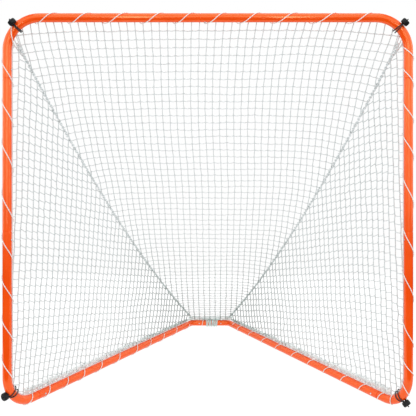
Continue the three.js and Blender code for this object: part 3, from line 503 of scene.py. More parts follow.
for side, hand in SIDES.items():
    post, rear = hand * POST_X, hand * REAR_X
    top = [behind(CROSSBAR_JOINT_X, 0, TOP_Z), behind(post, 0, TOP_Z), behind(post, 0, UPPER_JOINT_Z)]
    upper, lower = f"upper_post_{side}", f"lower_post_{side}"
    frame_tube(f"top_corner_tube_{side}", top, BEND_R, Y_WAY, hand < 0, False, ["crossbar", upper])
    middle = [behind(post, 0, UPPER_JOINT_Z), behind(post, 0, LOWER_JOINT_Z)]
    frame_tube(f"middle_post_{side}", middle, BEND_R, Y_WAY, True, True, [upper, lower])
    bottom = [behind(post, 0, LOWER_JOINT_Z), behind(post, 0, LOW_Z), rail_point(hand, RAIL_JOINT)]
    holes = [lower, f"rail_{side}"]
    frame_tube(f"bottom_corner_tube_{side}", bottom, BEND_R, rail_inner(hand), False, True, holes)
    rear_end = behind(hand * REAR_JOINT_X, DEPTH, LOW_Z)
    rail = [rail_point(hand, RAIL_JOINT), behind(rear, DEPTH, LOW_Z), rear_end]
    holes = [f"rail_{side}", f"rear_bar_{side}"]
    frame_tube(f"rail_tube_{side}", rail, REAR_BEND_R, Z_WAY, False, True, holes)
bar = [behind(-REAR_JOINT_X, DEPTH, LOW_Z), behind(REAR_JOINT_X, DEPTH, LOW_Z)]
frame_tube("rear_bar", bar, BEND_R, Z_WAY, False, False, ["rear_bar_left", "rear_bar_right"])


# %% [markdown]
# ## The snap buttons
# A button is a turned steel pin with a low dome, on a flange that stops it from leaving the tube. The
# flange is held up by one leg of a V-shaped leaf spring inside the swaged end. The profile is turned round
# the pin's axis.

# %% Buttons
PIN_PROFILE = np.array(
    [
        (0.00545, 0.01406), (0.0056, 0.01421), (0.0056, 0.01541), (0.00545, 0.01556),
        (0.00418, 0.01558), (0.004, 0.0158), (0.004, 0.0216), (0.00385, 0.02258),
        (0.0033, 0.02340), (0.0024, 0.02390), (0.0012, 0.02412),
    ]
)
PIN_TOP = 0.02415
PIN_SIDES = 32
for spot, (centre, way, out) in buttons.items():
    poles = (PIN_PROFILE[0, 1], PIN_TOP)
    pin = turned(f"domed_pin_{spot}", PIN_PROFILE, poles, centre, out, way, PIN_SIDES)
    finished(pin, zinc_plate, "zinc", f"button_{spot}", f"snap_button_{spot}")
print("pins made:", len(buttons))

# %% [markdown]
# ## The leaf springs
# Each spring is one strip of spring steel folded into a V. On the real goal its upper leg moves with the
# button and its lower leg rests on the tube's far wall; here the piece is drawn in one fixed shape.

# %% Springs
LEAF_STEPS = 25
LEG = 0.74  # the share of each half of the strip that is its sloping leg, and the rest is its straight tip
LEAF_WIDE, LEAF_THICK = 0.0055, 0.0004
upper, lower = 0.0133, -0.0151
for spot, (centre, way, out) in buttons.items():
    t = np.linspace(-1, 1, LEAF_STEPS)
    tip = 0.007 - (np.abs(t) - LEG) * 0.014 / 0.26
    leg = 0.007 + 0.035 * (1 - (np.abs(t) / LEG) ** 2.2)
    reach = np.where(np.abs(t) > LEG, tip, leg)
    height = (upper + lower) / 2 + np.sign(t) * (upper - lower) / 2 * np.clip(np.abs(t) / LEG, 0, 1) ** 0.8
    line = centre + way * reach[:, None] + out * height[:, None]
    on = unit(np.gradient(line, axis=0))
    across = np.cross(out, way)
    lift = np.cross(on, across)
    corners = np.array([(1, 1), (-1, 1), (-1, -1), (1, -1)])
    rings = line[:, None] + across * corners[None, :, :1] * LEAF_WIDE
    rings = rings + lift[:, None] * corners[None, :, 1:] * LEAF_THICK
    points = np.concatenate([rings.reshape(-1, 3), line[:1], line[-1:]])
    count = LEAF_STEPS * 4
    faces = fan_faces(4, 0, count - 4, count, count + 1)
    leaf = put_mesh(f"leaf_spring_{spot}", points, ring_faces(LEAF_STEPS, 4, False), faces)
    leaf.data.materials.append(zinc_plate)
    start, end = tuple(centre - out * 0.008), tuple(centre + out * 0.012)
    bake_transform(leaf)
    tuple(start)
    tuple(end)
    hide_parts(f"button_spring_{spot}")
print("springs made:", len(buttons))


# %% [markdown]
# ## Round cords
# A cord follows a line of points. Its section is round, or has three lobes that wind round as it goes,
# which is what a three-strand twisted cord looks like close up.

# %% Cord
def distances(line):
    """How far along a line each of its points is: the running sum of the steps between them."""
    return np.concatenate([[0], np.cumsum(np.linalg.norm(np.diff(line, axis=0), axis=1))])


def cord(name, line, facing, radius, sides=9, lobes=0, lay=0.012):
    """Rings line + r (cos a f + sin a (way x f)), f the facing made square to the way on.
    With lobes the radius is r (0.9 + 0.1 cos(lobes a - 2 pi s / lay)). u is the distance s, v the angle.
    Each end is closed by a fan round a pole that stands 0.4 r beyond it."""
    way = unit(np.gradient(line, axis=0))
    f = square_to(facing, way)
    g = np.cross(way, f)
    s = distances(line)
    a = np.linspace(0, 2 * math.pi, sides, endpoint=False)
    r = np.full((len(s), sides), radius)
    if lobes:
        r = radius * (0.9 + 0.1 * np.cos(lobes * a[None] - 2 * math.pi * s[:, None] / lay))
    rings = line[:, None] + r[..., None] * (np.cos(a)[:, None] * f[:, None] + np.sin(a)[:, None] * g[:, None])
    poles = [line[:1] - way[:1] * radius * 0.4, line[-1:] + way[-1:] * radius * 0.4]
    points = np.concatenate([rings.reshape(-1, 3), *poles])
    uv = np.stack(np.broadcast_arrays(s[:, None], a[None] / (2 * math.pi)), -1).reshape(-1, 2)
    uv = np.concatenate([uv, uv[:1], uv[-1:]])
    count = len(line) * sides
    fans = fan_faces(sides, 0, count - sides, count, count + 1)
    piece = put_mesh(name, points, ring_faces(len(line), sides, False), fans, uv, 180)
    print(name, "length", round(float(s[-1]), 3), "m")
    return piece


def resampled(line, step):
    """The same line with points every step metres."""
    s = distances(line)
    even = np.linspace(0, s[-1], max(int(s[-1] / step) + 1, 3))
    return np.stack([np.interp(even, s, line[:, k]) for k in range(3)], -1)


# %% [markdown]
# ## The lacing
# One white cord after another winds round each tube and through the net's border, like a spring pulled
# long. A pace above 0 makes it cross the face steeply and gain its distance behind, as on the rails, and
# one below 0 gives the long slant across the face that the crossbar and the posts show. The turns are as
# uneven as a hand makes them. Each list holds the distances at which the cord crosses the tube's face,
# measured on the photograph: along the crossbar from its left corner, down a post, along a rail from the
# front, and along the rear bar from a point 0.4 m to the left of its middle.

# %% Lacing
LACE_GAP = 0.00035
BORDER_SWELL, SWELL_ANGLE = 0.0062, 0.4
LACE_STEP, ROPE_STEP = 0.003, 0.004
ASKEW = np.array([0.31, 0.77, 0.55])  # a direction that no cord runs in, to count the turns of its lay from


def member_line(s, start, way, length, before, after):
    """A straight member with a quarter bend at both ends, towards the members before and after it:
    start + way (s - r sin a + r sin b) + before r (1 - cos a) + after r (1 - cos b), with a and b the angles
    turned at its two ends, and s held between the bends."""
    a = np.clip((BEND_R - s) / BEND_R, 0, math.pi / 2)[:, None]
    b = np.clip((s - (length - BEND_R)) / BEND_R, 0, math.pi / 2)[:, None]
    inside = np.clip(s, BEND_R, length - BEND_R)[:, None]
    point = start + way * (inside - BEND_R * np.sin(a) + BEND_R * np.sin(b))
    point = point + before * BEND_R * (1 - np.cos(a)) + after * BEND_R * (1 - np.cos(b))
    return point, way * np.cos(a) * np.cos(b) - before * np.sin(a) + after * np.sin(b)


def through(places, n):
    """A smooth curve through places at n = 0, 1, 2 (Catmull-Rom), going on straight beyond both ends."""
    p = np.array(places)
    beyond = np.array([1, 2, 3])
    p = np.concatenate([p[0] + (p[0] - p[1]) * beyond[::-1], p, p[-1] + (p[-1] - p[-2]) * beyond])
    i = np.floor(n).astype(int)
    f = n - i
    a, b, c, d = (p[i + k] for k in (2, 3, 4, 5))
    return b + (c - a) * f / 2 + (2 * a - 5 * b + 4 * c - d) * f**2 / 2 + (3 * b - 3 * c + d - a) * f**3 / 2


def lacing(name, node, member, face, border, hand, places, before, after, pace=0.25):
    """The cord's centre is the tube's axis + radius (cos a face + sin a (way x face)), a = 2 pi hand n.
    It crosses the face at the places, and the radius swells where it also goes round the net's border."""
    n = np.arange(-before, len(places) - 1 + after, 1 / 96)
    paced = n - pace * np.sin(2 * math.pi * n) / (2 * math.pi)
    axis, way = member_line(through(places, paced), *member)
    f = square_to(np.array(face, float), way)
    g = np.cross(way, f)
    a = 2 * math.pi * hand * n
    border_a = math.atan2(float(border @ np.cross(member[1], face)), float(border @ face))
    apart = (a - border_a + math.pi) % (2 * math.pi) - math.pi
    radius = TUBE_R + LACE_GAP + CORD_R + BORDER_SWELL * np.exp(-((apart / SWELL_ANGLE) ** 2))
    line = axis + (f * np.cos(a)[:, None] + g * np.sin(a)[:, None]) * radius[:, None]
    line[:, 2] = np.maximum(line[:, 2], CORD_R)
    piece = cord(name, resampled(line, LACE_STEP), ASKEW, CORD_R, lobes=3)
    return finished(piece, lacing_cord, "white_lacing", "goal", node)


def tilted(first, second, degrees):
    """A direction turned from the first towards the second: first cos t + second sin t."""
    t = math.radians(degrees)
    return np.array(first) * math.cos(t) + np.array(second) * math.sin(t)


BAR_TURNS = [0.179, 0.336, 0.507, 0.678, 0.826, 0.973, 1.130, 1.292, 1.481, 1.648]
POST_TURNS = {
    "left": [0.070, 0.256, 0.441, 0.640, 0.881, 1.075, 1.265, 1.450, 1.635],
    "right": [0.160, 0.270, 0.437, 0.594, 0.802, 1.038, 1.241, 1.472, 1.629, 1.731],
}
RAIL_TURNS = {
    "left": [0.134, 0.252, 0.384, 0.513, 0.660, 0.826, 1.006, 1.156, 1.313, 1.478, 1.656],
    "right": [0.087, 0.168, 0.299, 0.438, 0.583, 0.728, 0.886, 1.060, 1.221, 1.389, 1.542, 1.628],
}
bar_member = (behind(-POST_X, 0, TOP_Z), X_WAY, 2 * POST_X, -Z_WAY, -Z_WAY)
bar_border = tilted(-Z_WAY, Y_WAY, 45)
face = tilted(-Y_WAY, -Z_WAY, 16)
lacing("crossbar_lacing", "lacing_crossbar", bar_member, face, bar_border, -1, BAR_TURNS, 0.45, 0.45, -0.1)
RAIL_TILT = 22.5
post_member, post_border, rail_border = {}, {}, {}
for side, hand in SIDES.items():
    start = behind(hand * POST_X, 0, TOP_Z)
    post_member[side] = (start, -Z_WAY, TOP_Z - LOW_Z, -hand * X_WAY, rail_way(hand))
    post_border[side] = tilted(-hand * X_WAY, Y_WAY, 30)
    rail_border[side] = tilted(Z_WAY, -rail_inner(hand), RAIL_TILT)
    face = tilted(-Y_WAY, -hand * X_WAY, 20)
    name, node, turns = f"post_lacing_{side}", f"lacing_post_{side}", POST_TURNS[side]
    lacing(name, node, post_member[side], face, post_border[side], -1, turns, 0.3, 0.3, -0.25)
    member = (rail_point(hand, 0), rail_way(hand), RAIL_LENGTH + BEND_R, Z_WAY, Z_WAY)
    face = tilted(rail_inner(hand), Z_WAY, 18)
    name, node, turns = f"rail_lacing_{side}", f"lacing_rail_{side}", RAIL_TURNS[side]
    lacing(name, node, member, face, rail_border[side], -1, turns, 0.3, 0.0)
rear_member = (behind(-0.4, DEPTH, LOW_Z), X_WAY, 0.8, Z_WAY, Z_WAY)
REAR_TURNS = [0.344, 0.386, 0.418, 0.443]
rear_border = tilted(Z_WAY, Y_WAY, RAIL_TILT)
lacing("rear_lacing", "lacing_rear_bar", rear_member, -Y_WAY, rear_border, -1, REAR_TURNS, 0.1, 0.2)

# %% [markdown]
# ## The surface of the back net
# The back net hangs from the crossbar to the rear bar. Its middle line is a curve drawn towards a low point
# inside the goal, and its sides end on the corner bends and then on two sagging seams. In the photograph
# the rows look level from side to side. Two points look equally high when their drop below the lens over
# their distance from it is equal, so each row joins the points of the middle line and of the edges that
# share this ratio.

# %% Net surfaces
SEAM_SAG = 0.110
SEAM_DROP = 0.105  # how far the seam's upper end is below the crossbar's axis
ROW_DIP = {-1: (0.008, 9), 1: (0.016, 5)}


def seam_at(hand, t):
    """A seam: a straight line from the top corner to the rear corner, lowered by 4 sag t (1 - t)."""
    t = np.asarray(t, float)[..., None]
    top = behind(hand * (POST_X - 0.036), 0.016, TOP_Z - SEAM_DROP)
    end = behind(hand * (REAR_X - 0.004), DEPTH - 0.012, 0.062)
    return top + (end - top) * t - Z_WAY * 4 * SEAM_SAG * t * (1 - t)


def bar_rope(s):
    """The border rope of the crossbar, above and behind it, and round the outside of both bends:
    axis + (outwards + back) r / root 2."""
    axis, way = member_line(s, *bar_member)
    return axis + (np.cross(way, Y_WAY) + Y_WAY) / math.sqrt(2) * BORDER_R


def drop_ratio(point):
    """How low a point looks: its drop below the lens over its distance behind it."""
    return (camera.location.z - point[..., 2]) / (point[..., 1] - camera.location.y)


def curve_at(curve, known, value):
    """The point of a dense curve where the known quantity has the value."""
    return np.stack([np.interp(value, known, curve[:, k]) for k in range(3)], -1)


corner_reach = BEND_R * (math.acos(1 - SEAM_DROP / BEND_R) - 1)
corner_curve = bar_rope(np.linspace(2 * POST_X - BEND_R, 2 * POST_X + corner_reach, 80))
edge_curve = np.concatenate([corner_curve, seam_at(1, np.linspace(0.002, 1, 800))])
edge_ratio = np.maximum.accumulate(drop_ratio(edge_curve))
bar_edge = behind(0, 0, TOP_Z) + bar_border * BORDER_R
rear_edge = behind(0, DEPTH, LOW_Z) + rear_border * BORDER_R
pull = behind(0, 0.600, 0.510)
m = np.linspace(0, 1, 1201)[:, None]
middle_curve = bar_edge * (1 - m) ** 2 + pull * 2 * m * (1 - m) + rear_edge * m**2
middle_ratio = drop_ratio(middle_curve)


def back_at(x, ratio):
    """The back net at width x and a ratio: middle + (edge - middle) (|x| / edge x) ^ power."""
    x, ratio = np.broadcast_arrays(np.asarray(x, float), np.asarray(ratio, float))
    middle = curve_at(middle_curve, middle_ratio, ratio)
    edge = curve_at(edge_curve, edge_ratio, ratio)
    power = 2 + 10 * np.exp((middle_ratio[0] - ratio) / 0.012)
    share = np.clip(np.abs(x) / edge[..., 0], 0, 1) ** power
    point = middle + (edge - middle) * share[..., None]
    point[..., 0] = x
    return point


def hung_x(x, ratio):
    """Where a column that starts at width x hangs: its weight draws it in, and it leans a little to the left.
    The share drawn in is 0.06 (1 - exp(-fall / 0.06)), and it is given back just above the rear bar."""
    fall = ratio - middle_ratio[0]
    drawn = 0.06 * (1 - np.exp(-fall / 0.06)) * np.clip((middle_ratio[-1] - ratio) / 0.10, 0, 1)
    return x * (1 - drawn) - 0.015 * np.sin(math.pi * np.clip(fall / 0.30, 0, 1))


def row_dip(hand, ratio):
    """How much a row's ratio has grown where it meets a seam: dip (edge x / 0.75) ^ 1.5, which is less and
    less as the net narrows rearward."""
    return ROW_DIP[hand][0] * np.clip(curve_at(edge_curve, edge_ratio, ratio)[..., 0] / 0.75, 0, 1) ** 1.5


def row_path(x, ratio):
    """The ratio that a row really has at width x: it dips near both seams by dip (|x| / edge x) ^ power,
    and the top rows rise a little to the right."""
    x, ratio = np.broadcast_arrays(np.asarray(x, float), np.asarray(ratio, float))
    dip = np.where(x < 0, row_dip(-1, ratio), row_dip(1, ratio))
    power = np.where(x < 0, ROW_DIP[-1][1], ROW_DIP[1][1])
    share = np.clip(np.abs(x) / curve_at(edge_curve, edge_ratio, ratio + dip)[..., 0], 0, 1)
    fall = ratio - middle_ratio[0]
    rise = 0.005 * x * np.exp(-((fall / 0.13) ** 2)) * (1 - np.exp(-fall / 0.02))
    return ratio + dip * share**power - rise


run = distances(middle_curve)
row_count = round(run[-1] / MESH / 1.02)
row_ratio = np.interp(np.linspace(0, run[-1], row_count + 1), run, middle_ratio)[1:-1]
print("back net's middle line:", round(run[-1], 3), "m in", row_count, "rows")


# %% [markdown]
# ## Twine between knots
# Every side of every mesh is a short length of twine from one knot to the next, and every knot is a small
# lump. A net has thousands of them, so each is made of only a few faces, all in one go.

# %% Strands and knots
def strands(ends_a, ends_b, normal, radius, sag, sides=4):
    """Twine from a to b: three rings at the ends and the middle, the middle one moved by sag."""
    n = len(ends_a)
    line = np.stack([ends_a, (ends_a + ends_b) / 2 + sag, ends_b], 1)
    way = unit(ends_b - ends_a)
    f = square_to(normal, way)
    g = np.cross(way, f)
    a = (np.arange(sides) + 0.5) / sides * 2 * math.pi
    spoke = np.cos(a)[None, :, None] * f[:, None] + np.sin(a)[None, :, None] * g[:, None]
    rings = line[:, :, None] + radius * spoke[:, None]
    length = np.linalg.norm(ends_b - ends_a, axis=1)
    u = np.stack([0 * length, length / 2, length], 1)[:, :, None]
    uv = np.stack(np.broadcast_arrays(u, (a / (2 * math.pi))[None, None]), -1)
    first = (np.arange(n) * 3 * sides)[:, None, None]
    quads = (ring_faces(3, sides, False)[None] + first).reshape(-1, 4)
    if sides == 4:
        caps = (np.array([[3, 2, 1, 0], [8, 9, 10, 11]])[None] + first).reshape(-1, 4)
        quads = np.concatenate([quads, caps])
    return rings.reshape(-1, 3), quads, uv.reshape(-1, 2)


def knots(centres, normal, radius):
    """Lumps: a six-sided ball with three rings, flattened along the net's normal."""
    n = len(centres)
    up = np.broadcast_to(normal, (n, 3))
    f = square_to(np.array([0.1, 0.2, 0.97]), up)
    g = np.cross(up, f)
    a = np.arange(6) / 6 * 2 * math.pi
    spoke = np.cos(a)[None, :, None] * f[:, None] + np.sin(a)[None, :, None] * g[:, None]
    height = np.array([-0.55, 0, 0.55])[None, :, None, None]
    wide = np.array([0.72, 1.0, 0.72])[None, :, None, None]
    rings = centres[:, None, None] + radius * (spoke[:, None] * wide + up[:, None, None] * height)
    poles = centres[:, None] + radius * 0.8 * up[:, None] * np.array([-1, 1])[None, :, None]
    first = (np.arange(n) * 20)[:, None, None]
    points = np.concatenate([rings.reshape(n, 18, 3), poles], 1).reshape(-1, 3)
    quads = (ring_faces(3, 6, False)[None] + first).reshape(-1, 4)
    fans = (fan_faces(6, 0, 12, 18, 19)[None] + first).reshape(-1, 3)
    return points, quads, fans


def net_piece(name, pairs, lumps, normal):
    """A net from groups of (a, b, upright, sag) strands and a group of knots."""
    points, quads, uvs, marks, base = [], [], [], [], 0
    for a, b, upright, sag in pairs:
        p, q, uv = strands(a, b, normal, STRAND_R, sag)
        points.append(p)
        quads.append(q + base)
        uvs.append(uv)
        marks.append(np.full(len(p), upright))
        base += len(p)
    p, q, fans = knots(lumps, normal, STRAND_R * 1.6)
    points, quads = np.concatenate([*points, p]), np.concatenate([*quads, q + base])
    uvs = np.concatenate([*uvs, np.zeros((len(p), 2))])
    # Knots take half of the hanging twine's painted shade.
    marks = np.concatenate([*marks, np.full(len(p), 0.5)])
    piece = put_mesh(name, points, quads, fans + base, uvs, 180, marks)
    count = sum(len(x[0]) for x in pairs)
    print(name, "strands and knots:", count, len(lumps), "faces:", len(piece.data.polygons))
    return piece


def waves(a, b, size, seed_number):
    """A smooth uneven field: the sum of six plane waves of random direction, length and phase."""
    rng = np.random.default_rng(seed_number)
    turn, phase = rng.uniform(0, 2 * math.pi, (2, 6))
    pace = rng.uniform(6, 26, 6)
    field = sum(np.sin(p * (a * math.cos(d) + b * math.sin(d)) + q) for p, d, q in zip(pace, turn, phase))
    return size * field / 3


# %% [markdown]
# ## The back net
# 47 columns hang at even widths 38 mm apart, and 60-odd rows cross them. Knots sit where they meet, each
# pulled a little out of line, as in any hand-hung net. Where a row or column reaches a seam it ends on the
# seam's border.

# %% Back net
down = np.array([0, 0, -1.0])
columns = np.arange(-23, 24) * MESH
X, ROW = np.meshgrid(columns, row_ratio)
X = hung_x(X, ROW)
grid = back_at(X, row_path(X, ROW))
row_ends = {}
for hand in (-1, 1):
    edge_x = curve_at(edge_curve, edge_ratio, row_ratio + row_dip(hand, row_ratio))[:, 0]
    row_ends[hand] = curve_at(edge_curve, edge_ratio, row_path(hand * edge_x, row_ratio))
inside = np.abs(X) < np.where(X < 0, row_ends[-1][:, :1], row_ends[1][:, :1]) - 0.010
grid[..., 1] += waves(X, grid[..., 2], 0.004, 5)
grid[..., 2] += waves(X, grid[..., 2], 0.0025, 7)
grid += seed.normal(0, 0.0009, grid.shape)
back_normal = unit(np.array([0.0, -DEPTH, -TOP_Z]))

both_up = inside[:-1] & inside[1:]
both_on = inside[:, :-1] & inside[:, 1:]
ROW_SAG, EDGE_SAG = 0.0022, 0.001
pairs = [(grid[:-1][both_up], grid[1:][both_up], 1, 0)]
pairs.append((grid[:, :-1][both_on], grid[:, 1:][both_on], 0, down * ROW_SAG))
bent = np.abs(columns) > POST_X - BEND_R
high_ends = np.where(bent[:, None], curve_at(corner_curve, corner_curve[:, 0], np.abs(columns)), bar_edge)
high_ends[:, 0] = columns
number = np.arange(len(columns))
last_row = len(row_ratio) - 1 - inside[::-1].argmax(0)
low_x = X[last_row, number]
across = (POST_X - 0.036 - np.abs(low_x)) / (POST_X - 0.036 - (REAR_X - 0.004))
at_bar = across > 1
low_ends = np.where(at_bar[:, None], rear_edge, seam_at(1, np.clip(across, 0, 1)))
low_ends[:, 0] = low_x
pairs.append((high_ends, grid[inside.argmax(0), number], 1, 0))
pairs.append((grid[last_row, number], low_ends, 1, 0))
for hand, edge_column in ((-1, inside.argmax(1)), (1, len(columns) - 1 - inside[:, ::-1].argmax(1))):
    at_edge = grid[np.arange(len(row_ratio)), edge_column]
    pairs.append((at_edge, row_ends[hand] * [hand, 1, 1], 0, down * EDGE_SAG))
back_net_piece = net_piece("back_net_mesh", pairs, grid[inside], back_normal)
finished(back_net_piece, net_twine, "white_net", "goal", "back_net")

# %% [markdown]
# ## The side nets
# A side net is a triangle between a post, a floor rail and a seam. Its columns hang from the seam to the
# rail, and its rows slope down to the back. Low down the net is slack: its meshes lean and round off like
# honeycomb, and its last row is gathered into a thick white hem along the rail.

# %% Side nets
def side_at(hand, t, z):
    """A side net at the share t of its depth and height z, on the straight line from the seam to the rail."""
    t, z = np.broadcast_arrays(np.asarray(t, float), np.asarray(z, float))
    top = seam_at(hand, t)
    foot = rail_point(hand, t * RAIL_LENGTH) + tilted(Z_WAY, -rail_inner(hand), RAIL_TILT) * BORDER_R
    share = ((top[..., 2] - z) / (top[..., 2] - foot[..., 2]))[..., None]
    point = top + (foot - top) * share
    point[..., 2] = z
    return point


seam_top = TOP_Z - SEAM_DROP
drop = seam_top - LOW_Z - BORDER_R
foot_z = LOW_Z + BORDER_R * math.cos(math.radians(RAIL_TILT))
side_columns = (np.arange(0, 48) + 0.6) * MESH / RAIL_LENGTH
side_rows = np.arange(-3, 47) * MESH * 1.01
dense_t = np.linspace(0, 1, 1501)
STEP = 0.0048  # how far a row steps down across a knot, which turns square meshes into a honeycomb
SEAM_EDGE = 0.004
# A side net's rows take most of the hanging twine's painted shade as well.
ROW_MARK = 0.8  # how much of the hanging twine's colour a row takes


def row_height(hand, t, at_post):
    """The height of a row that meets the post at seam_top - at_post.
    Rearward it falls by 0.19 (s - 0.072 (1 - exp(-s / 0.12))).
    The lacing drags each row down at the post, by an amount that fades out with exp(-s / 0.13) on the right
    and, less far, with exp(-s / 0.02) on the left."""
    s = t * RAIL_LENGTH
    dragged = (0.05 + 0.035 * at_post / drop) * np.exp(-s / 0.13) if hand > 0 else 0.018 * np.exp(-s / 0.02)
    return seam_top - at_post - dragged - 0.19 * (s - 0.072 * (1 - np.exp(-s / 0.12)))


def hung_t(hand, t, z):
    """Where a column of the share t hangs at height z: low down it leans towards the mouth, by up to 0.1 m,
    as lean (1 - z / 1.1) ^ 2 (1 - exp(-s / 0.3))."""
    lean = 0.10 if hand < 0 else 0.06
    return t - lean * np.clip(1 - z / 1.1, 0, 1) ** 2 * (1 - np.exp(-t * RAIL_LENGTH / 0.3)) / RAIL_LENGTH


def corner_foot(s):
    """The lowest height of the net at distance s along the rail: the rail, or the front bend's inside, which
    is at low z + r - sqrt(inner r ^ 2 - (r - s) ^ 2)."""
    inner_r = BEND_R - 0.021
    rise = BEND_R - np.sqrt(np.maximum(inner_r**2 - (BEND_R - s) ** 2, 0))
    return np.where(s < BEND_R, np.maximum(LOW_Z + rise, foot_z), foot_z)


for side, hand in SIDES.items():
    T, S = np.meshgrid(side_columns, side_rows)
    T = hung_t(hand, T, row_height(hand, T, S))
    Z = row_height(hand, T, S)
    points = side_at(hand, T, Z)
    inside = (Z < seam_at(hand, T)[..., 2] - 0.012) & (Z > corner_foot(T * RAIL_LENGTH) + 0.010) & (T < 0.992)
    way, inner = rail_way(hand), rail_inner(hand)
    low = np.clip(1 - (Z - foot_z) / 0.45, 0, 1)
    stagger = np.where((np.add.outer(np.arange(len(side_rows)), np.arange(len(side_columns)))) % 2, 1.0, -1.0)
    shift = waves(T * RAIL_LENGTH, Z, 0.003, 11) + stagger * (0.0004 + 0.0010 * low)
    rise = waves(T * RAIL_LENGTH, Z, 0.003, 13) * (0.6 + low)
    bulge = waves(T * RAIL_LENGTH, Z, 0.004, 17) * (0.4 + low)
    points = points + shift[..., None] * way + rise[..., None] * Z_WAY + bulge[..., None] * inner
    points += seed.normal(0, 0.0010, points.shape)
    step = STEP * Z_WAY
    up = inside[:-1] & inside[1:]
    on = inside[:, :-1] & inside[:, 1:]
    pairs = [(points[:-1][up], points[1:][up], 1, 0)]
    pairs.append((points[:, :-1][on] + step, points[:, 1:][on] - step, ROW_MARK, down * 0.0008))

    rows = np.nonzero(inside.any(1))[0]
    first, last = inside[rows].argmax(1), len(side_columns) - 1 - inside[rows][:, ::-1].argmax(1)
    levels = row_height(hand, dense_t[None], side_rows[rows][:, None])
    foot = corner_foot(dense_t * RAIL_LENGTH)[None]
    open_here = levels > foot
    begins = dense_t[open_here.argmax(1)]
    begin_points = side_at(hand, begins, row_height(hand, begins, side_rows[rows]))
    post_points = behind(hand * POST_X, 0, 0) + post_border[side] * BORDER_R
    post_points = post_points + row_height(hand, 0, side_rows[rows])[:, None] * Z_WAY
    begin_points = np.where((begins > 0)[:, None], begin_points, post_points)
    held = begin_points[:, 2] < seam_top + 0.004
    pairs.append((begin_points[held], points[rows, first][held] - step, ROW_MARK, down * EDGE_SAG))
    over = levels > seam_at(hand, dense_t)[None, :, 2]
    stop = (over | ~open_here) & (dense_t[None] > T[rows, last][:, None])
    meets, ends_there = stop.argmax(1), stop.any(1)
    ends_t = dense_t[meets]
    at_seam = over[np.arange(len(rows)), meets]
    stop_up, stop_low = seam_at(hand, ends_t) + down * SEAM_EDGE, side_at(hand, ends_t, foot_z)
    row_stops = np.where(at_seam[:, None], stop_up, stop_low)
    pairs.append((points[rows, last][ends_there] + step, row_stops[ends_there], ROW_MARK, down * EDGE_SAG))

    used = np.nonzero(inside.any(0))[0]
    high, deep = inside[:, used].argmax(0), len(side_rows) - 1 - inside[::-1][:, used].argmax(0)
    rail_ends = side_at(hand, T[deep, used], corner_foot(T[deep, used] * RAIL_LENGTH))
    pairs.append((seam_at(hand, T[high, used]) + down * SEAM_EDGE, points[high, used], 1, 0))
    pairs.append((points[deep, used], rail_ends, 1, 0))
    piece = net_piece(f"side_net_mesh_{side}", pairs, points[inside], inner)
    finished(piece, net_twine, "white_net", "goal", f"side_net_{side}")

# %% [markdown]
# ## Border ropes
# Where a net meets a tube, its edge meshes are threaded on a thin rope, and the lacing goes round that
# rope. The rope follows the crossbar round the bends to the seams, and runs down each post and back along
# each rail. Along the crossbar it lies above and behind the tube's axis, and the back net's top ends, below
# and behind that axis, stop 31 mm under it. On the real goal the rope would be down there, with the net
# threaded on it.

# %% Border ropes
BORDER_ROPE_R = 0.0024


def border_rope(name, line, facing):
    """A border rope: a cord along a line, with three strands showing."""
    piece = cord(name, resampled(line, ROPE_STEP), facing, BORDER_ROPE_R, lobes=3)
    return finished(piece, net_twine, "white_net", "goal")


rope = bar_rope(np.linspace(-corner_reach, 2 * POST_X + corner_reach, 500))
border_rope("crossbar_border_rope", rope, -Y_WAY)
for side, hand in SIDES.items():
    s = np.linspace(SEAM_DROP, TOP_Z - LOW_Z + BEND_R * (math.pi / 2 - 1), 500)
    axis, way = member_line(s, *post_member[side])
    down_share = np.clip((s - (TOP_Z - LOW_Z - BEND_R)) / (BEND_R * math.pi / 2), 0, 1)[:, None]
    aim = square_to(post_border[side] * (1 - down_share) + rail_border[side] * down_share, way)
    foot = rail_point(hand, np.linspace(BEND_R, RAIL_LENGTH * 0.96, 300)) + rail_border[side] * BORDER_R
    end = seam_at(hand, 1.0)[None]
    line = np.concatenate([axis + aim * BORDER_R, foot[1:], end])
    border_rope(f"side_border_rope_{side}", line, rail_inner(hand))

# %% [markdown]
# ## The hem along the rails
# At the rail the side net has more width than it needs, so its edge is gathered. The slack meshes lie in
# bunches against the tube. They are drawn as loose strands that wander round the border rope.

# %% Hem
HEM_STRANDS = 6
for side, hand in SIDES.items():
    s = np.linspace(0.12, RAIL_LENGTH * 0.97, 900)
    centre = rail_point(hand, s) + rail_border[side] * (BORDER_R + 0.004)
    for k in range(HEM_STRANDS):
        pace = 2 * math.pi / (MESH * (0.7 + 0.13 * k))
        wander = np.sin(pace * s + k * 1.9) * 0.006 + 0.003 * np.sin(31 * s + k)
        most = 0.010 + 0.018 * (1 - s / RAIL_LENGTH) + 0.004 * np.sin(7 * s + k)
        lift = np.abs(np.sin(pace * s / 2 + k)) * most
        line = centre + wander[:, None] * rail_inner(hand) + lift[:, None] * Z_WAY
        piece = cord(f"hem_strand_{side}_{k}", line, rail_inner(hand), STRAND_R, sides=5)
        finished(piece, gathered_twine, "white_net", "goal")

# %% [markdown]
# ## The gathered net on the rear bar
# The rear bar is far narrower than the back net's lower edge was cut, so the net is bunched there. Loose
# strands lie along the top of the bar, and in its middle the spare net is wound round the bar in close
# turns.

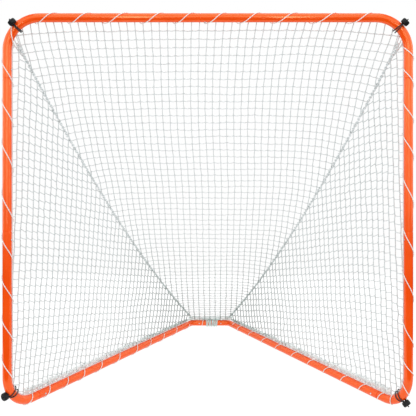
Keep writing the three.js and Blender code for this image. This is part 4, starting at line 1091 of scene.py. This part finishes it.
# %% Rear bunch
BUNCH_TURNS, BUNCH_R = 13, 0.0032
BUNCH_LEFT, BUNCH_WIDE = -0.031, 0.084
s = np.linspace(-0.158, 0.165, 240)
for k in range(HEM_STRANDS):
    height = 0.004 + 0.0048 * k + 0.002 * np.sin(60 * s + 2.1 * k)
    depth = -0.007 + 0.004 * np.sin(2 * math.pi * s / (MESH * (0.6 + 0.09 * k)) + k)
    line = behind(0, DEPTH, LOW_Z + TUBE_R) + np.stack([s, depth, height], -1)
    piece = cord(f"rear_hem_strand_{k}", line, Z_WAY, STRAND_R, sides=5)
    finished(piece, gathered_twine, "white_net", "goal")
turn = np.linspace(0, 2 * math.pi * BUNCH_TURNS, 64 * BUNCH_TURNS)
round_bar = BORDER_R + 0.0022 + 0.0012 * np.sin(turn * 1.7)
along = BUNCH_LEFT + BUNCH_WIDE * turn / turn[-1] + 0.002 * np.sin(turn * 0.63)
line = behind(0, DEPTH, LOW_Z) + np.stack([along, round_bar * np.sin(turn), round_bar * np.cos(turn)], -1)
line[:, 2] = np.maximum(line[:, 2], BUNCH_R + 0.0001)
bunch = cord("rear_bunch", line, ASKEW, BUNCH_R, sides=8, lobes=3)
finished(bunch, gathered_twine, "white_net", "goal")

# %% [markdown]
# ## The seams
# The back net and each side net are laced together along a seam. A cord runs along it and two more wind
# round both borders, so the seam reads as one thick twisted rope, greyer than the nets.

# %% Seams
SEAM_PITCH = 0.042
SEAM_WIND_R = 0.0054
SEAM_CORE_R, WINDING_R = 0.0028, 0.0026
for side, hand in SIDES.items():
    t = np.linspace(0.004, 0.988, 1200)
    line = seam_at(hand, t)
    core = cord(f"seam_core_{side}", resampled(line, ROPE_STEP), rail_inner(hand), SEAM_CORE_R, lobes=3)
    finished(core, seam_cord_finish, "white_lacing", "goal", f"seam_cord_{side}")
    way = unit(np.gradient(line, axis=0))
    f = square_to(rail_inner(hand), way)
    g = np.cross(way, f)
    s = distances(line)
    for k in range(2):
        a = 2 * math.pi * (s / SEAM_PITCH + k / 2 + 0.12 * np.sin(23 * s + k))
        around = line + SEAM_WIND_R * (np.cos(a)[:, None] * f + np.sin(a)[:, None] * g)
        around = resampled(around, ROPE_STEP)
        wind = cord(f"seam_winding_{side}_{k}", around, rail_inner(hand), WINDING_R, sides=7, lobes=3)
        finished(wind, seam_cord_finish, "white_lacing", "goal")

# %% [markdown]
# The two nets meet before they reach the tube, so the seam's upper end is a bunch of twine tied to the
# corner's border ropes. It is drawn as a few loose strands from the ropes to the seam, each with its own
# slack.

# %% Seam heads
HEAD_STRANDS = 6
for side, hand in SIDES.items():
    u = np.linspace(0, 1, 40)[:, None]
    for k in range(HEAD_STRANDS):
        held = bar_rope(np.array([hand * POST_X + POST_X + hand * corner_reach * (1 - 0.35 * k)]))[0]
        meets = seam_at(hand, 0.012 + 0.011 * k)
        slack = (4 * u * (1 - u)) * (Z_WAY * -0.010 - hand * X_WAY * 0.004 * math.sin(2 * k))
        strand = cord(f"seam_head_{side}_{k}", held + (meets - held) * u + slack, Y_WAY, STRAND_R, sides=6)
        finished(strand, net_twine, "white_net", "goal")

# %% [markdown]
# ## The ball bungees
# A bungee is a black moulded ball with a hole through it, and a loop of elastic cord that comes out of the
# hole, goes round the tube and the net's border, and hooks back over the ball.

# %% Bungees
BALL_R = 0.0185
BALL_HALF = 0.0122
ELASTIC_R = 0.0025
BALL_SIDES = 40
ROUNDNESS = 5  # 2 would be a plain ball, and more makes it a barrel with round shoulders
height = BALL_HALF * np.sin(np.linspace(-1.40, 1.40, 23))
mould_line = 0.0003 * np.exp(-((height / 0.0008) ** 2))
wide = BALL_R * (1 - (np.abs(height) / BALL_HALF) ** ROUNDNESS) ** (1 / ROUNDNESS) + mould_line
BALL_PROFILE = np.stack([wide, height], -1)
STUB_PROFILE = np.array([(0.0030, 0.0120), (0.0026, 0.0124), (0.0026, 0.0182), (0.0020, 0.0190)])
BALL_PROFILE = np.concatenate([[(0.0030, -0.0118)], BALL_PROFILE, STUB_PROFILE])


def bungee(name, centre, way, offset, hole, border, spread):
    """The ball's profile turned round its hole, r = R (1 - (h / H) ^ 5) ^ (1 / 5), and a loop of elastic.
    Its two strands leave the hole, go round the tube side by side, spread apart, and come back."""
    out = square_to(np.array(offset, float), way)
    ball = centre + np.array(offset)
    other = np.cross(way, out)
    hole = unit(np.array(hole, float))
    first, poles = square_to(way, hole), BALL_PROFILE[[0, -1], 1]
    piece = turned(f"bungee_knob_{name}", BALL_PROFILE, poles, ball, hole, first, BALL_SIDES)
    finished(piece, black_moulding, "black_moulding", "goal", f"bungee_ball_{name}")
    turn = np.radians(np.linspace(34, 326, 120))
    spoke = np.cos(turn)[:, None] * out + np.sin(turn)[:, None] * other
    apart = np.arccos(np.clip(spoke @ border, -1, 1))
    radius = TUBE_R + 0.0006 + ELASTIC_R + 0.0068 * np.exp(-((apart / 0.5) ** 2))
    inner_end = ball - hole * (BALL_HALF - 0.004)
    share = np.linspace(0, 1, 12)[:, None]
    for k in (-1, 1):
        part = (turn - turn[0]) / (turn[-1] - turn[0])
        aside = k * (ELASTIC_R + 0.0002 + spread * np.sin(part * math.pi) ** 0.7)
        loop = centre + spoke * radius[:, None] + way * aside[:, None]
        start = inner_end + (loop[0] - inner_end) * share[:-1]
        end = loop[-1] + (inner_end - loop[-1]) * share[1:]
        line = np.concatenate([start, loop, end])
        elastic = cord(f"elastic_{name}_{'ab'[k > 0]}", line, way, ELASTIC_R, sides=10)
        finished(elastic, black_elastic, "black_elastic", "goal", f"bungee_loop_{name}")


high_offset = {-1: (-0.0100, -0.0320, 0.0155), 1: (0.0216, -0.0223, 0.0180)}
high_hole = {-1: (-0.66, -0.20, 0.72), 1: (0.68, -0.30, 0.67)}
low_offset = {-1: (-0.0190, -0.0300, -0.0050), 1: (0.0180, -0.0180, -0.0256)}
low_bend = {-1: 33.75, 1: 45.0}
spreads = {("top", -1): 0.0006, ("top", 1): 0.003, ("bottom", -1): 0.009, ("bottom", 1): 0.009}
for side, hand in SIDES.items():
    slant = math.sqrt(0.5)
    out = np.array([hand * slant, 0, slant])
    centre = behind(hand * (POST_X - BEND_R), 0, TOP_Z - BEND_R) + out * BEND_R
    way = np.array([hand * slant, 0, -slant])
    border = (Y_WAY - out) * slant
    bungee(f"top_{side}", centre, way, high_offset[hand], high_hole[hand], border, spreads["top", hand])
    a = math.radians(low_bend[hand])
    way, inner = rail_way(hand), rail_inner(hand)
    lean = math.atan2(post_border[side] @ inner, post_border[side] @ way) * (1 - a * 2 / math.pi)
    lean -= math.radians(RAIL_TILT) * a * 2 / math.pi
    inwards = Z_WAY * math.sin(a) + way * math.cos(a)
    centre = behind(hand * POST_X, 0, LOW_Z + BEND_R) + way * BEND_R - inwards * BEND_R
    border = inwards * math.cos(lean) + inner * math.sin(lean)
    along = way * math.sin(a) - Z_WAY * math.cos(a)
    aside = low_offset[hand]
    bungee(f"bottom_{side}", centre, along, aside, aside, border, spreads["bottom", hand])

# %% [markdown]
# ## Floor and light
# The photograph is a cut-out on white, lit softly from all round, with long pale reflections along the
# tubes. A white floor, a bright world and a few large soft boxes give the same. They aren't part of the
# object. Reflections see a band of sky that fades out below the horizon, because the photographed posts
# lose their gloss towards the floor. It also fades overhead, so that the crossbar's top stays orange.

# %% Stage
bpy.ops.mesh.primitive_plane_add(size=4, location=(0, 0.9, -0.001))
floor = bpy.context.object
floor.name = "studio_floor"
floor_white, tree, shader = new_finish("white_studio_floor")
shader.inputs["Base Color"].default_value = linear("#303030")
shader.inputs["Roughness"].default_value = 0.9
shader.inputs["Emission Color"].default_value = linear("#FFFFFF")
shader.inputs["Emission Strength"].default_value = 0.98
floor.data.materials.append(floor_white)

world = bpy.data.worlds.new("studio_white")
bpy.context.scene.world = world
world.use_nodes = True
tree = world.node_tree
shade = tree.nodes["Background"]
shade.inputs["Strength"].default_value = 1.0
path = add_node(tree, "ShaderNodeLightPath")
looking = add_node(tree, "ShaderNodeTexCoord").outputs["Generated"]
height = add_node(tree, "ShaderNodeSeparateXYZ", {"Vector": looking})
low = {"Value": height.outputs["Z"], "From Min": -0.16, "From Max": 0.13, "To Max": 1.6}
high = {"Value": height.outputs["Z"], "From Min": 0.62, "From Max": 0.85, "To Min": 1.0, "To Max": 0.1}
low, high = (add_node(tree, "ShaderNodeMapRange", reach).outputs["Result"] for reach in (low, high))
band = add_node(tree, "ShaderNodeMath", {0: low, 1: high}, operation="MULTIPLY").outputs["Value"]
lighting = {0: path.outputs["Is Glossy Ray"], 6: linear("#FCFDFF"), 7: band}
lighting = add_node(tree, "ShaderNodeMix", lighting, data_type="RGBA").outputs[2]
sky = {0: path.outputs["Is Camera Ray"], 6: lighting, 7: linear("#FFFFFF")}
sky = add_node(tree, "ShaderNodeMix", sky, data_type="RGBA")
tree.links.new(sky.outputs[2], shade.inputs["Color"])


def soft_box(name, location, aim, size, power, only_gloss=False):
    """An area light that looks at a point. One that is only for gloss shows in reflections alone."""
    data = bpy.data.lights.new(name, "AREA")
    data.shape, data.size, data.size_y, data.energy = "RECTANGLE", size[0], size[1], power
    light = bpy.data.objects.new(name, data)
    bpy.context.scene.collection.objects.link(light)
    way = Vector(aim) - Vector(location)
    light.rotation_euler = way.to_track_quat("-Z", "Y").to_euler()
    light.location = location
    light.visible_diffuse = not only_gloss


soft_box("overhead_box", (0, -1.2, 4.6), (0, 0, 0.8), (4, 3), 65)
soft_box("front_box", (0, -4.6, 3.0), (0, -0.76, 1.85), (3.2, 0.9), 6, True)
for x, y in ((-3.36, -1.36), (-0.8, -4.0), (0.8, -4.0), (3.36, -1.36)):
    post = math.copysign(POST_X, x)
    soft_box("strip", (x, y, 1.75), (post, -DEPTH / 2, 1.7), (0.25, 2.2), 14, True)
bpy.context.scene.view_settings.view_transform = "Standard"
bpy.context.scene.view_settings.look = "None"
print("stage set")

# %% [markdown]
# ## Bringing the scene up to date

# %% Finish
bpy.context.view_layer.update()
